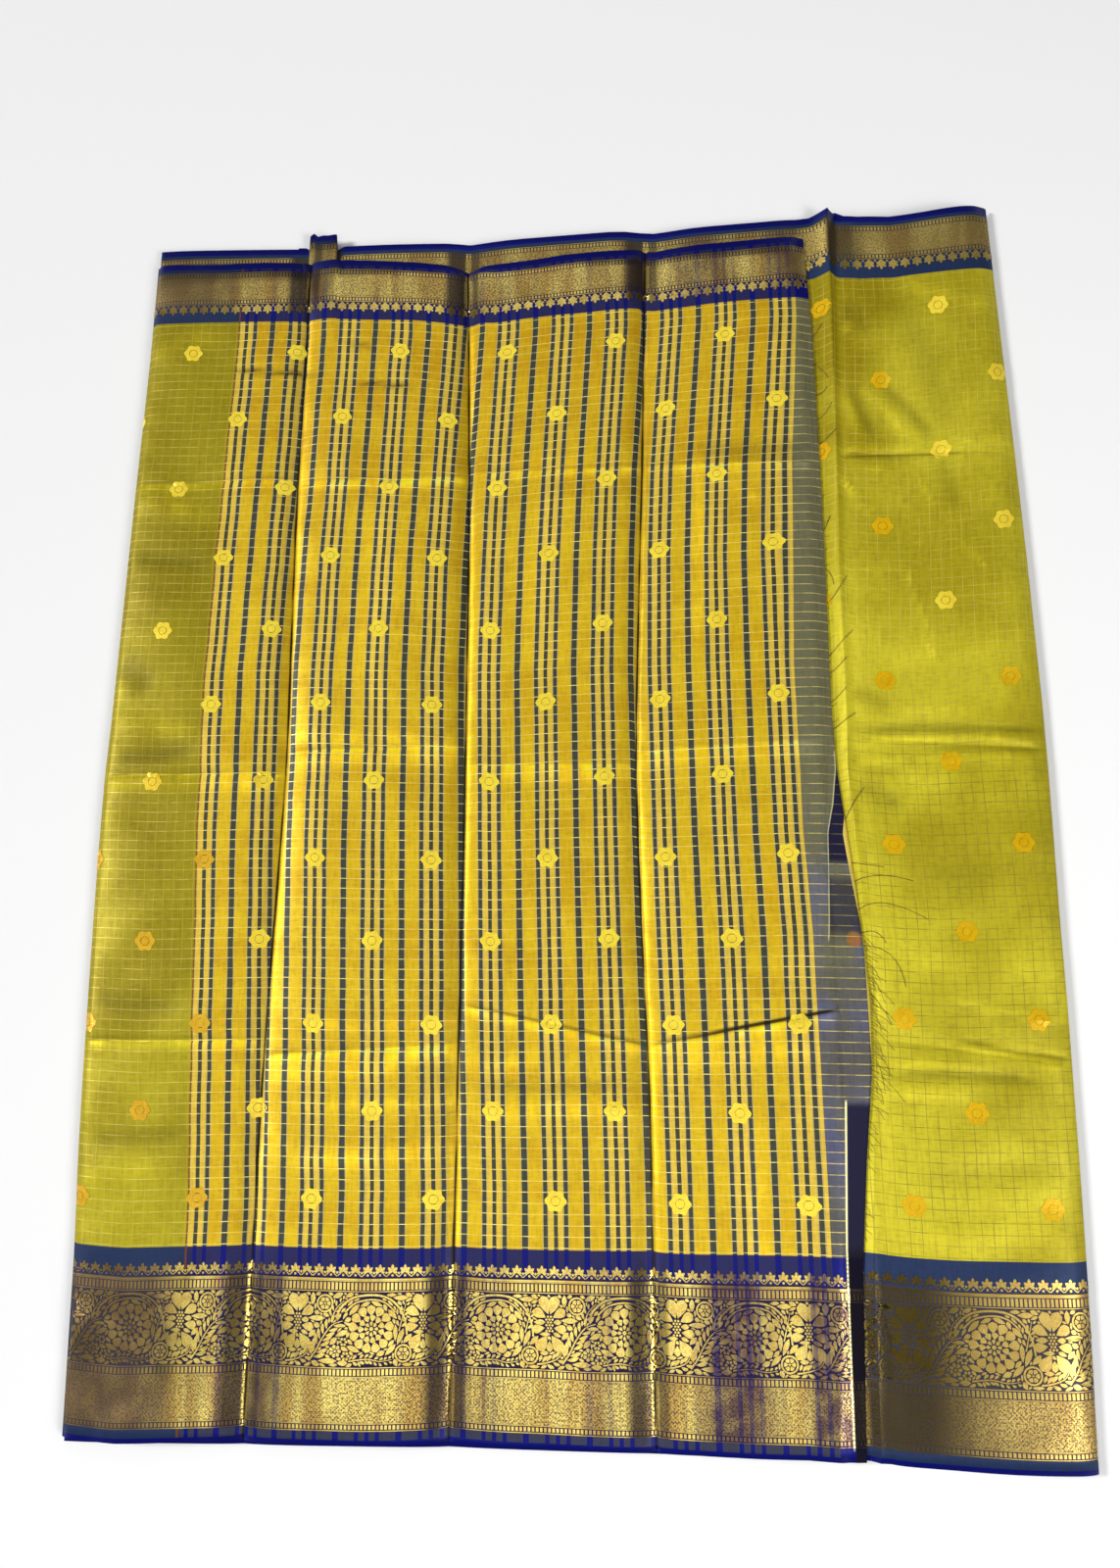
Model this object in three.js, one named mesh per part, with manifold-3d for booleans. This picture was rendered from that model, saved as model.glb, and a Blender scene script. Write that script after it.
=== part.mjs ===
// A saree folded flat: 5.5 m of cloth, 1.15 m wide, in seven layers that lie on a table.
// Millimetres, +Z up, origin on the table under the middle of the pack; +Y is the far side.
import * as THREE from 'three';
import Module from 'manifold-3d';

const wasm = await Module();
wasm.setup();

// ---- driving sizes ----
const wall = 1.2;           // one stretch of cloth, as a rigid wall
const gap = 0.3;            // clear space where two pieces meet
const hiddenLayers = 5;     // layers of the pack that nothing shows but their edges
const stackHeight = 4.7;    // those five layers, pressed together
const bodyFloor = 5.0;      // underside of the stretch below the top one
const noseHole = 0.3;       // inner radius where a stretch turns over at a side

const rows = (names, table) =>
  table.map((values) => Object.fromEntries(names.split(' ').map((name, i) => [name, values[i]])));

// a value read from a table between its rows, which run in order of `key`
function read(table, key, name, at) {
  const up = table[table.length - 1][key] > table[0][key];
  const past = table.findIndex((row) => (up ? row[key] >= at : row[key] <= at));
  if (past === 0) return table[0][name];
  if (past < 0) return table[table.length - 1][name];
  const [a, b] = [table[past - 1], table[past]];
  return THREE.MathUtils.lerp(a[name], b[name], (at - a[key]) / (b[key] - a[key]));
}

// ---- where the folds run ----
// x of each line that runs up the cloth, by y: left fold, four pressed folds, raw end, standing ridge and
// right fold
const lines = rows('y left first second third fourth raw ridge right', [
  [580, -430, -262, -97, 88, 239, 245, 270, 429],
  [450, -431, -263, -94, 84, 243, 250, 269, 432],
  [300, -435, -265, -91, 80, 245, 251, 267, 436],
  [200, -437, -264, -90, 76, 245, 251, 264, 438],
  [60, -440, -262, -90, 71, 244, 250, 264, 440],
  [0, -442, -262, -90, 70, 243, 252, 262, 440],
  [-80, -442, -264, -90, 71, 242, 260, 267, 439],
  [-150, -441, -266, -91, 73, 243, 266, 270, 438],
  [-210, -440, -268, -91, 75, 243, 270, 274, 438],
  [-270, -439, -269, -92, 77, 245, 268, 272, 437],
  [-340, -437, -270, -92, 78, 243, 260, 266, 436],
  [-430, -433, -270, -93, 78, 240, 252, 260, 434],
  [-580, -430, -270, -95, 78, 233, 247, 258, 429],
]);
const flatX = {
  left: -436, first: -265, second: -92, third: 80, fourth: 244, raw: 256, ridge: 266, right: 436,
};
const lineX = (name, y) => read(lines, 'y', name, y);

// pressed folds that cross the cloth: y at the two sides of each panel, and how far the line dips or stands
const crossFolds = rows('flatY panel yLeft yRight dip reach', [
  [303, 'left', 304, 304, 1.6, 18],
  [303, 'first', 300, 299, 1.8, 18],
  [303, 'second', 303, 304, 1.2, 16],
  [303, 'third', 304, 302, 1.8, 22],
  [303, 'ridge', 309, 305, 2.0, 20],
  [18, 'left', 4, 3, 1.2, 18],
  [18, 'first', 24, 26, 2.0, 18],
  [18, 'second', 8, 6, 1.4, 18],
  [18, 'third', 18, 26, 1.6, 16],
  [18, 'ridge', 28, 14, 2.0, 18],
  [-245, 'left', -243, -243, 1.2, 20],
  [-245, 'first', -256, -246, 1.4, 26],
  [-245, 'second', -212, -248, -1.5, 9],
  [-245, 'third', -248, -217, -1.5, 9],
  [-245, 'ridge', -240, -262, 1.8, 22],
]);
const panels = ['left', 'first', 'second', 'third', 'ridge'];
const panelEnd = { left: 'first', first: 'second', second: 'third', third: 'fourth', ridge: 'right' };

// how high each panel of a stretch rises between its folds
const panelRise = { left: 1.8, first: 2.6, second: 2.4, third: 3.0, ridge: 2.4 };
const foldReach = 17;       // a pressed fold's dip fades out over this distance

// the standing ridge of the stretch below, by y: its height over the cloth beside it, and its foot's width
const ridgeForm = rows('y height leftFoot rightFoot', [
  [580, 11, 17, 9],
  [500, 8, 15, 8],
  [400, 6, 13, 7],
  [200, 4.6, 12, 7],
  [0, 4.2, 9, 7],
  [-100, 2.4, 8, 7],
  [-180, 1.2, 7, 7],
  [-290, 1.2, 7, 7],
  [-350, 3.2, 7, 7],
  [-440, 5.5, 8, 8],
  [-580, 5.0, 9, 9],
]);

// a pleat of the same stretch, pressed over to the right at the far edge
const pleat = { left: -266, right: -236, start: 430, full: 520, height: 2.2, edge: 2.5 };

// ---- outlines, by x ----
const farTop = rows('x y', [
  [-430, 556], [-350, 551], [-272, 550], [-240, 549], [-200, 545], [-150, 540.5], [-120, 537], [-92, 529],
  [-80, 534], [-50, 536.5], [0, 541], [50, 544], [80, 546], [96, 541], [243, 550], [262, 551],
]);
const nearTop = rows('x y', [
  [-430, -573], [-380, -575], [-340, -573], [-270, -570.5], [-170, -570], [-92, -567], [-50, -568],
  [80, -570], [200, -571], [245, -574],
]);
const farBelow = rows('x y', [
  [-430, 577], [-300, 571], [-268, 571], [-262, 586], [-254, 582], [-247, 583], [-238, 579], [-232, 570],
  [-180, 569], [-120, 567], [-92, 565], [-50, 568], [60, 571], [98, 566], [140, 570], [200, 572],
  [250, 575], [270, 578], [281, 571], [300, 567], [330, 565], [390, 571], [429, 575],
]);
const nearBelow = rows('x y', [[-430, -577], [-90, -572], [250, -573], [340, -576], [429, -578]]);
const farStack = rows('x y', [
  [-430, 572], [-286, 567], [-278, 574], [-268, 573], [-262, 566], [-90, 561], [80, 566], [262, 570],
  [270, 581], [278, 583], [290, 577], [298, 562], [429, 570],
]);
const nearStack = rows('x y', [[-430, -571], [-90, -568], [80, -567], [429, -572]]);

// ---- heights ----
// 0 on a pressed line, 1 well away from it
const risen = (distance, reach) => 1 - Math.exp(-Math.abs(distance) / reach);

function crossY(fold, x, y) {
  const from = lineX(fold.panel, y);
  const to = lineX(panelEnd[fold.panel], y);
  const share = THREE.MathUtils.clamp((x - from) / (to - from), 0, 1);
  return THREE.MathUtils.lerp(fold.yLeft, fold.yRight, share);
}

// a pressed fold dips below the panel; a tuck (dip under 0) stands up along its line
function crossRise(panel, x, y) {
  let height = 0;
  for (const fold of crossFolds.filter((row) => row.panel === panel)) {
    const away = y - crossY(fold, x, y);
    height += fold.dip > 0 ? fold.dip * risen(away, fold.reach) : -fold.dip * (1 - risen(away, fold.reach));
  }
  return height;
}

function panelOf(x, y) {
  return [...panels].reverse().find((name) => x >= lineX(name, y)) ?? 'left';
}

// `endShare` is how much of the height is kept at the fold beside the raw end
function panelHeight(x, y, endShare = 0) {
  const panel = panelOf(x, y);
  const from = x - lineX(panel, y);
  const to = Math.max(0, lineX(panelEnd[panel], y) - x);
  const kept = panel === 'third' ? endShare : 0;
  const sides = risen(from, foldReach) * (kept + (1 - kept) * risen(to, foldReach));
  return sides * (panelRise[panel] + crossRise(panel, x, y));
}

const smooth = (from, to, at) => THREE.MathUtils.smoothstep(at, from, to);

function ridgeHeight(x, y) {
  const away = x - lineX('ridge', y);
  const foot = read(ridgeForm, 'y', away < 0 ? 'leftFoot' : 'rightFoot', y);
  const share = Math.max(0, 1 - Math.abs(away) / foot);
  return read(ridgeForm, 'y', 'height', y) * share ** 1.2;
}

function pleatHeight(x, y, wider = 0) {
  const [left, right] = [pleat.left - wider, pleat.right + wider];
  const across = smooth(left - pleat.edge, left, x) * (1 - smooth(right, right + pleat.edge, x));
  return pleat.height * across * smooth(pleat.start, pleat.full, y);
}

// top face of the stretch below, and of the top stretch over it
const belowShare = 0.4;     // the hidden part of the stretch below rises this much of what the top one does
function belowTop(x, y) {
  const underTop = x < lineX('raw', y) + 6;
  const lift = underTop ? belowShare * panelHeight(x, y) : panelHeight(x, y);
  return bodyFloor + wall + lift + ridgeHeight(x, y) + pleatHeight(x, y);
}

// the flap past the fourth fold: how high its raw edge lies over the cloth below, by y
const flapEnd = rows('y slack', [
  [580, 0.5], [30, 0.5], [0, 0.3], [-90, 0.4], [-165, 1.3], [-290, 1.3], [-330, 0.5], [-580, 0.5],
]);
const endKept = 0.55;       // of the third panel's height, what stays at the fourth fold
const pleatRoom = 4;        // the top stretch passes this far clear of the pleat's sides
function topTop(x, y) {
  const fold = lineX('fourth', y);
  const own = panelHeight(Math.min(x, fold), y, endKept) - belowShare * panelHeight(Math.min(x, fold), y);
  const past = THREE.MathUtils.clamp((x - fold) / (lineX('raw', y) - fold), 0, 1);
  const overPleat = pleatHeight(x, y, pleatRoom) - pleatHeight(x, y);
  const lift = THREE.MathUtils.lerp(own, read(flapEnd, 'y', 'slack', y), past ** 0.7);
  return belowTop(x, y) + gap + wall + overPleat + lift;
}

// ---- walls of cloth ----
// Two equal grids of points, [row][column], become one closed wall: `over` faces up, `under` faces down.
function wallBetween(over, under) {
  const rowCount = over.length;
  const columnCount = over[0].length;
  const points = [...over.flat(), ...under.flat()];
  const faces = [];
  const id = (row, column, side) => side * rowCount * columnCount + row * columnCount + column;
  const quad = (a, b, c, d) => faces.push(a, b, c, a, c, d);
  for (let r = 0; r + 1 < rowCount; r += 1) {
    for (let c = 0; c + 1 < columnCount; c += 1) {
      quad(id(r, c, 0), id(r, c + 1, 0), id(r + 1, c + 1, 0), id(r + 1, c, 0));
      const [a, b] = [id(r, c, 1), id(r + 1, c + 1, 1)];
      faces.push(a, b, id(r, c + 1, 1), a, id(r + 1, c, 1), b);
    }
    quad(id(r, 0, 1), id(r, 0, 0), id(r + 1, 0, 0), id(r + 1, 0, 1));
    const last = columnCount - 1;
    quad(id(r, last, 0), id(r, last, 1), id(r + 1, last, 1), id(r + 1, last, 0));
  }
  for (let c = 0; c + 1 < columnCount; c += 1) {
    quad(id(0, c, 1), id(0, c + 1, 1), id(0, c + 1, 0), id(0, c, 0));
    const last = rowCount - 1;
    quad(id(last, c, 0), id(last, c + 1, 0), id(last, c + 1, 1), id(last, c, 1));
  }
  return solidFrom(points, faces);
}

function solidFrom(points, faces) {
  const geometry = new THREE.BufferGeometry();
  geometry.setAttribute('position', new THREE.Float32BufferAttribute(points.flat(), 3));
  geometry.setIndex(faces);
  return geometry;
}

// Columns follow the fold lines and rows the cross folds, so a pressed line always has points of its own.
const nearFold = [0, 6, 24];
function columnsBetween(from, to, middles) {
  const [a, b] = [flatX[from], flatX[to]];
  const inner = middles.map((share) => THREE.MathUtils.lerp(a, b, share));
  return [...nearFold.map((d) => a + d), ...inner, ...nearFold.slice(1).reverse().map((d) => b - d)];
}
const hiddenColumns = [
  ...columnsBetween('left', 'first', [0.5]), ...columnsBetween('first', 'second', [0.38, 0.62]),
  ...columnsBetween('second', 'third', [0.38, 0.62]), ...columnsBetween('third', 'fourth', [0.38, 0.62]),
].sort((a, b) => a - b);
const pleatColumns = [-262, -250, -238, -234.5];
const sharedColumns = [...hiddenColumns.filter((x) => x < -266 || x > -234), -265, ...pleatColumns]
  .sort((a, b) => a - b);
const endColumns = [244, 250, 256];
const ridgeColumns = [244, 252, 258, 262, 264.5, 266, 268, 271, 276, 292, 330, 370, 405, 424, 433, 436];
const sharedRows = [
  -555, -500, -430, -350, -300, -270, -253, -245, -237, -222, -170, -90, -10, 8, 18, 28, 50, 120,
  200, 262, 292, 303, 314, 345, 410, 470, 520,
];

const guides = Object.keys(flatX);
function placeX(flat, y) {
  const past = guides.findIndex((name) => flatX[name] >= flat);
  if (past <= 0) return lineX(guides[0], y);
  const [a, b] = [guides[past - 1], guides[past]];
  return THREE.MathUtils.lerp(lineX(a, y), lineX(b, y), (flat - flatX[a]) / (flatX[b] - flatX[a]));
}

// a shared row bends to lie on the nearest cross fold of its panel
const rowPull = 70;         // a cross fold bends the rows up to this far away
function placeY(flatRow, x) {
  const fold = crossFolds.find((row) => (
    Math.abs(flatRow - row.flatY) < rowPull && row.panel === panelOf(x, flatRow)));
  if (!fold) return flatRow;
  const pull = 1 - Math.abs(flatRow - fold.flatY) / rowPull;
  return flatRow + pull * (crossY(fold, x, flatRow) - fold.flatY);
}

function faceGrid(columns, rowsAcross, near, far, height) {
  const point = (x, y) => [x, y, height(x, y)];
  const row = (flatRow) => columns.map((flat) => {
    const y = placeY(flatRow, placeX(flat, flatRow));
    return point(placeX(flat, y), y);
  });
  const edge = (outline) => columns.map((flat) => {
    const x = placeX(flat, outline[0].y);
    return point(x, read(outline, 'x', 'y', x));
  });
  return [edge(near), ...rowsAcross.map(row), edge(far)];
}

const lowered = (grid, by) => grid.map((line) => line.map(([x, y, z]) => [x, y, z - by]));

// A side fold: the wall's end column moves in by the fold's radius, then the wall goes half round it,
// down to `floor`. `side` is -1 at the left and 1 at the right.
const noseTurns = [45, 90, 135, 180];   // degrees round the fold
function makeRoom(grid, column, side, floor) {
  for (const line of grid) line[column][0] -= side * (line[column][2] - floor) / 2;
}

function nose(ends, side, floor) {
  const turned = (fixedRadius) => ends.map(([x, y, z]) => {
    const middle = (z + floor) / 2;
    const radius = fixedRadius ?? z - middle;
    return noseTurns.map(THREE.MathUtils.degToRad).map((angle) => (
      [x + side * radius * Math.sin(angle), y, middle + radius * Math.cos(angle)]));
  });
  return { over: turned(), under: turned(noseHole) };
}

function makeTopGrid() {
  const columns = [...sharedColumns.filter((x) => x < endColumns[0]), ...endColumns];
  const grid = faceGrid(columns, sharedRows, nearTop, farTop, topTop);
  makeRoom(grid, 0, -1, bodyFloor);
  return grid;
}

function makeTopStretch(grid) {
  const turn = nose(grid.map((line) => line[0]), -1, bodyFloor);
  const joined = (turned, face) => face.map((line, r) => [...turned[r].toReversed(), ...line]);
  return wallBetween(joined(turn.over, grid), joined(turn.under, lowered(grid, wall)));
}

const layerHeight = stackHeight / hiddenLayers;
const rightNoseFloor = stackHeight - layerHeight - 0.04;  // its right fold goes round a hidden layer
const belowLeftInset = 1.7;  // the left end of the stretch below meets the turned edge of the top one

function makeBelowGrid() {
  const besideFold = (x) => guides.some((name) => Math.abs(Math.abs(x - flatX[name]) - nearFold[1]) < 0.01);
  const hidden = sharedColumns.filter((x) => x < ridgeColumns[0] && !besideFold(x));
  const columns = [...hidden, ...ridgeColumns];
  const grid = faceGrid(columns, [...sharedRows, 545, 560], nearBelow, farBelow, belowTop);
  for (const line of grid) line[0][0] += belowLeftInset;
  makeRoom(grid, columns.length - 1, 1, rightNoseFloor);
  return grid;
}

function makeBelowStretch(grid) {
  const turn = nose(grid.map((line) => line[line.length - 1]), 1, rightNoseFloor);
  const joined = (face, turned) => face.map((line, r) => [...line, ...turned[r]]);
  return wallBetween(joined(grid, turn.over), joined(lowered(grid, wall), turn.under));
}

// ---- hidden layers ----
// Rings of points from the table up: each layer's edge is round, and stands in or out from its neighbours.
const layerInset = rows('left right near far', [
  [2.6, 0.8, 1.5, 3.5],
  [1.2, 0.8, 4.5, 1.0],
  [1.2, 3.4, 0.6, 5.0],
  [3.4, 3.4, 3.6, 2.2],
  [3.4, 1.8, 1.2, 0.0],
]);
const edgeNotch = 0.5;      // how far the line between two layers lies in

function makeHiddenLayers() {
  const sideSteps = 12;
  const endSteps = 34;
  const leftIn = 1.0;
  const ring = (level) => {
    const z = (level / 2) * layerHeight;
    const layer = Math.min(hiddenLayers - 1, Math.floor(level / 2));
    const between = level % 2 === 0;
    const below = Math.max(0, layer - (between ? 1 : 0));
    const pick = (side) => (between ? Math.max(layerInset[layer][side], layerInset[below][side]) + edgeNotch
      : layerInset[layer][side]);
    const inset = Object.fromEntries(['left', 'right', 'near', 'far'].map((side) => [side, pick(side)]));
    const wave = (at, step) => 0.8 * Math.sin(at / step + layer * 1.7);
    const points = [];
    const xAt = (share, y) => THREE.MathUtils.lerp(
      lineX('left', y) + leftIn + inset.left, lineX('right', y) - inset.right, share);
    for (let i = 0; i < endSteps; i += 1) {
      const x = xAt(i / endSteps, -575);
      points.push([x, read(nearStack, 'x', 'y', x) + inset.near + wave(x, 47), z]);
    }
    for (let i = 0; i < sideSteps; i += 1) {
      const y = THREE.MathUtils.lerp(-570 + inset.near, 568 - inset.far, i / sideSteps);
      points.push([lineX('right', y) - inset.right, y, z]);
    }
    const farShares = [...Array(endSteps).keys()].map((i) => 1 - i / endSteps);
    for (const share of farShares) {
      const x = xAt(share, 575);
      points.push([x, read(farStack, 'x', 'y', x) - inset.far + wave(x, 61), z]);
    }
    for (let i = 0; i < sideSteps; i += 1) {
      const y = THREE.MathUtils.lerp(568 - inset.far, -570 + inset.near, i / sideSteps);
      points.push([lineX('left', y) + leftIn + inset.left, y, z]);
    }
    return points;
  };
  const rings = [...Array(2 * hiddenLayers + 1).keys()].map(ring);
  const count = rings[0].length;
  const faces = [];
  for (let level = 0; level + 1 < rings.length; level += 1) {
    for (let i = 0; i < count; i += 1) {
      const next = (i + 1) % count;
      const [a, b] = [level * count + i, level * count + next];
      faces.push(a, b, b + count, a, b + count, a + count);
    }
  }
  const cap = (ringPoints, start, up) => {
    const outline = ringPoints.map(([x, y]) => new THREE.Vector2(x, y));
    for (const [a, b, c] of THREE.ShapeUtils.triangulateShape(outline, [])) {
      faces.push(...(up ? [start + a, start + b, start + c] : [start + a, start + c, start + b]));
    }
  };
  cap(rings[0], 0, false);
  cap(rings[rings.length - 1], (rings.length - 1) * count, true);
  return solidFrom(rings.flat(), faces);
}

// ---- loose threads of the raw end ----
const thread = { half: 0.45, drop: 0.25, crown: 0.5, clear: 0.5, step: 6.5 };
const strip = { width: 1.1, height: 0.8, clear: 0.4, near: -431, far: 471, pieces: 2 };

// long threads: y of the root, where the thread bends, and where it ends
const longThreads = rows('root bendX bendY endX endY', [
  [438, 255, 446, 260, 453],
  [410, 257, 408, 263, 393],
  [376, 257, 377, 262, 384],
  [350, 258, 352, 265, 366],
  [322, 257, 328, 268, 337],
  [230, 254, 238, 258, 248],
  [196, 257, 192, 258, 178],
  [158, 258, 166, 270, 186],
  [106, 258, 118, 273, 132],
  [90, 258, 97, 266, 106],
  [62, 256, 68, 264, 77],
  [36, 258, 44, 271, 52],
  [-50, 262, -34, 275, -18],
  [-86, 272, -88, 288, -91],
  [-104, 278, -93, 312, -104],
  [-130, 280, -112, 322, -138],
  [-150, 278, -142, 286, -158],
  [-160, 296, -160, 300, -196],
]);
// runs of short fringe: from and to along the edge, spacing, reach out, drift along, and unevenness
const fringeRuns = rows('from to pitch reach drift uneven', [
  [-170, -302, 5.2, 15, -9, 5],
  [-312, -348, 6.5, 6, -5, 2],
  [-374, -408, 8, 5, -4, 2],
]);

// height of the cloth's facets under a point
function heightOn(grid, x, y) {
  const side = (a, b) => (b[0] - a[0]) * (y - a[1]) - (b[1] - a[1]) * (x - a[0]);
  for (let r = 0; r + 1 < grid.length; r += 1) {
    for (let c = 0; c + 1 < grid[r].length; c += 1) {
      const corners = [grid[r][c], grid[r][c + 1], grid[r + 1][c + 1], grid[r + 1][c]];
      for (const [p, q, w] of [[0, 1, 2], [0, 2, 3]]) {
        const [a, b, d] = [corners[p], corners[q], corners[w]];
        const [ab, bd, da] = [side(a, b), side(b, d), side(d, a)];
        if (ab >= 0 && bd >= 0 && da >= 0) return (bd * a[2] + da * b[2] + ab * d[2]) / (ab + bd + da);
      }
    }
  }
  return bodyFloor + wall;
}

function threadAlong(points) {
  const vertices = [];
  const faces = [];
  points.forEach((point, i) => {
    const before = points[Math.max(0, i - 1)];
    const after = points[Math.min(points.length - 1, i + 1)];
    const length = Math.hypot(after[0] - before[0], after[1] - before[1]);
    const aside = [before[1] - after[1], after[0] - before[0]].map((side) => side / length * thread.half);
    const [x, y, z] = point;
    const low = z - thread.drop;
    vertices.push([x + aside[0], y + aside[1], low], [x - aside[0], y - aside[1], low]);
    vertices.push([x, y, z + thread.crown]);
  });
  for (let i = 0; i + 1 < points.length; i += 1) {
    for (let side = 0; side < 3; side += 1) {
      const [a, b] = [3 * i + side, 3 * i + (side + 1) % 3];
      faces.push(a, b + 3, b, a, a + 3, b + 3);
    }
  }
  const last = 3 * (points.length - 1);
  faces.push(0, 1, 2, last, last + 2, last + 1);
  return solidFrom(vertices, faces);
}

const toSolid = (geometry) => new wasm.Manifold(new wasm.Mesh({
  numProp: 3,
  vertProperties: new Float32Array(geometry.attributes.position.array),
  triVerts: new Uint32Array(geometry.index.array),
}));

function fromSolid(solid) {
  const mesh = solid.getMesh();
  const geometry = new THREE.BufferGeometry();
  geometry.setAttribute('position', new THREE.BufferAttribute(new Float32Array(mesh.vertProperties), 3));
  geometry.setIndex([...mesh.triVerts]);
  return geometry;
}

function makeLooseThreads(topGrid, belowGrid) {
  const edge = topGrid.map((line) => line[line.length - 1]);
  const line = [];
  for (let r = 0; r + 1 < edge.length; r += 1) {
    for (let i = 0; i < strip.pieces; i += 1) {
      const share = i / strip.pieces;
      const y = THREE.MathUtils.lerp(edge[r][1], edge[r + 1][1], share);
      const x = THREE.MathUtils.lerp(edge[r][0], edge[r + 1][0], share) + gap;
      if (y > strip.near && y < strip.far) line.push([x, y]);
    }
  }
  const stripTop = line.map(([x, y]) => [x, x + strip.width].map((at) => (
    [at, y, heightOn(belowGrid, at, y) + strip.clear + strip.height])));
  let solid = toSolid(wallBetween(stripTop, lowered(stripTop, strip.height)));

  const edgeRows = rows('x y', edge);
  const rootAt = (y) => [read(edgeRows, 'y', 'x', y) + gap + strip.width * 0.6, y];
  const lay = (root, bend, end) => {
    const [from, middle, to] = [root, bend, end].map((p) => new THREE.Vector2(...p));
    const length = from.distanceTo(middle) + middle.distanceTo(to);
    const curve = new THREE.QuadraticBezierCurve(from, middle, to);
    const points = curve.getPoints(Math.max(3, Math.round(length / thread.step)));
    const highest = (p, i) => [points[i - 1] ?? p, p, points[i + 1] ?? p]
      .map((q) => heightOn(belowGrid, (p.x + q.x) / 2, (p.y + q.y) / 2))
      .reduce((a, b) => Math.max(a, b));
    const inStrip = heightOn(belowGrid, root[0], root[1]) + strip.clear + strip.height / 2;
    const heightAt = (p, i) => (i === 0 ? inStrip : highest(p, i) + thread.clear + thread.drop);
    return threadAlong(points.map((p, i) => [p.x, p.y, heightAt(p, i)]));
  };
  for (const row of longThreads) {
    solid = solid.add(toSolid(lay(rootAt(row.root), [row.bendX, row.bendY], [row.endX, row.endY])));
  }
  for (const run of fringeRuns) {
    const count = Math.round((run.from - run.to) / run.pitch);
    for (let i = 0; i < count; i += 1) {
      const root = rootAt(run.from - i * run.pitch);
      const change = run.uneven * Math.sin(i * 2.4);
      const end = [root[0] + run.reach + change, root[1] + run.drift + 0.3 * change];
      const bend = [root[0] + 0.55 * run.reach, root[1] + 0.15 * run.drift];
      solid = solid.add(toSolid(lay(root, bend, end)));
    }
  }
  return fromSolid(solid);
}

// ---- the part ----
const topGrid = makeTopGrid();
const belowGrid = makeBelowGrid();
const finish = (color, roughness) => new THREE.MeshStandardMaterial({ color, roughness, metalness: 0 });
const saree = new THREE.Group();
function add(name, geometry, material) {
  const mesh = new THREE.Mesh(geometry, material);
  mesh.name = name;
  saree.add(mesh);
}
add('folded_layers', makeHiddenLayers(), finish('#8f8a2c', 0.8));
add('body_stretch', makeBelowStretch(belowGrid), finish('#a9a032', 0.6));
add('pallu_stretch', makeTopStretch(topGrid), finish('#c79a17', 0.6));
add('loose_threads', makeLooseThreads(topGrid, belowGrid), finish('#5a4a22', 0.9));

export default saree;
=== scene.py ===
import math

import bmesh
import bpy
import numpy as np
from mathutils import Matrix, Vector
from mathutils.bvhtree import BVHTree


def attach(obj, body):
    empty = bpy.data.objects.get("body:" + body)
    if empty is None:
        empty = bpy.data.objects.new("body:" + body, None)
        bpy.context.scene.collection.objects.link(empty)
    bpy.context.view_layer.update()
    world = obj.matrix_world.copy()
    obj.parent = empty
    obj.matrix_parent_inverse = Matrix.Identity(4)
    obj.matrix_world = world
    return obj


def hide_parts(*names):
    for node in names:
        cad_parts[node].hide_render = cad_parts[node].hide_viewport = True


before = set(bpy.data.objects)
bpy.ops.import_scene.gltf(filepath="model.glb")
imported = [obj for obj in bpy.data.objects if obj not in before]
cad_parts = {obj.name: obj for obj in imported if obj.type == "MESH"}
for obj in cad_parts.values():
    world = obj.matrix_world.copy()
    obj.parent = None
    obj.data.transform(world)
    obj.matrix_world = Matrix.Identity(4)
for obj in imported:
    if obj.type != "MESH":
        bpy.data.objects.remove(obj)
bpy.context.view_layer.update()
mm = 0.001


def table(names, rows):
    return {name: np.array([row[i] for row in rows], float) for i, name in enumerate(names.split())}


def read(rows, key, name, at):  # a table's value between its rows
    order = np.argsort(rows[key])
    return np.interp(at, rows[key][order], rows[name][order])


def smooth(low, high, at):
    share = np.clip((at - low) / (high - low), 0, 1)
    return share * share * (3 - 2 * share)


def risen(distance, reach):  # 0 on a pressed line, 1 well away from it
    return 1 - np.exp(-np.abs(distance) / reach)


def bell(distance, reach):  # 1 on a line, 0 well away from it
    return np.exp(-((distance / reach) ** 2))


def addPiece(name, data):
    piece = bpy.data.objects.new(name, data)
    bpy.context.collection.objects.link(piece)
    return piece


view = {
    "place": (75.9, -212.2, 996.4),  # mm
    "turn": (11.527, 4.490, -0.020),  # degrees about X, Y, Z
    "lens": 25.0,
}
cameraData = bpy.data.cameras.new("camera")
cameraData.lens = view["lens"]
camera = addPiece("camera", cameraData)
camera.location = [value * mm for value in view["place"]]
camera.rotation_euler = [math.radians(value) for value in view["turn"]]
bpy.context.scene.camera = camera
bpy.context.scene.view_settings.view_transform = "Standard"

# where the folds run, in mm: x by y of each line that runs up the cloth
foldLines = table("y left first second third fourth raw ridge right", [
    (580, -430, -262, -97, 88, 239, 245, 270, 429),
    (450, -431, -263, -94, 84, 243, 250, 269, 432),
    (300, -435, -265, -91, 80, 245, 251, 267, 436),
    (200, -437, -264, -90, 76, 245, 251, 264, 438),
    (60, -440, -262, -90, 71, 244, 250, 264, 440),
    (0, -442, -262, -90, 70, 243, 252, 262, 440),
    (-80, -442, -264, -90, 71, 242, 260, 267, 439),
    (-150, -441, -266, -91, 73, 243, 266, 270, 438),
    (-210, -440, -268, -91, 75, 243, 270, 274, 438),
    (-270, -439, -269, -92, 77, 245, 268, 272, 437),
    (-340, -437, -270, -92, 78, 243, 260, 266, 436),
    (-430, -433, -270, -93, 78, 240, 252, 260, 434),
    (-580, -430, -270, -95, 78, 233, 247, 258, 429),
])
flatX = {"left": -436, "first": -265, "second": -92, "third": 80, "fourth": 244, "raw": 256,
         "ridge": 266, "right": 436}
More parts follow.
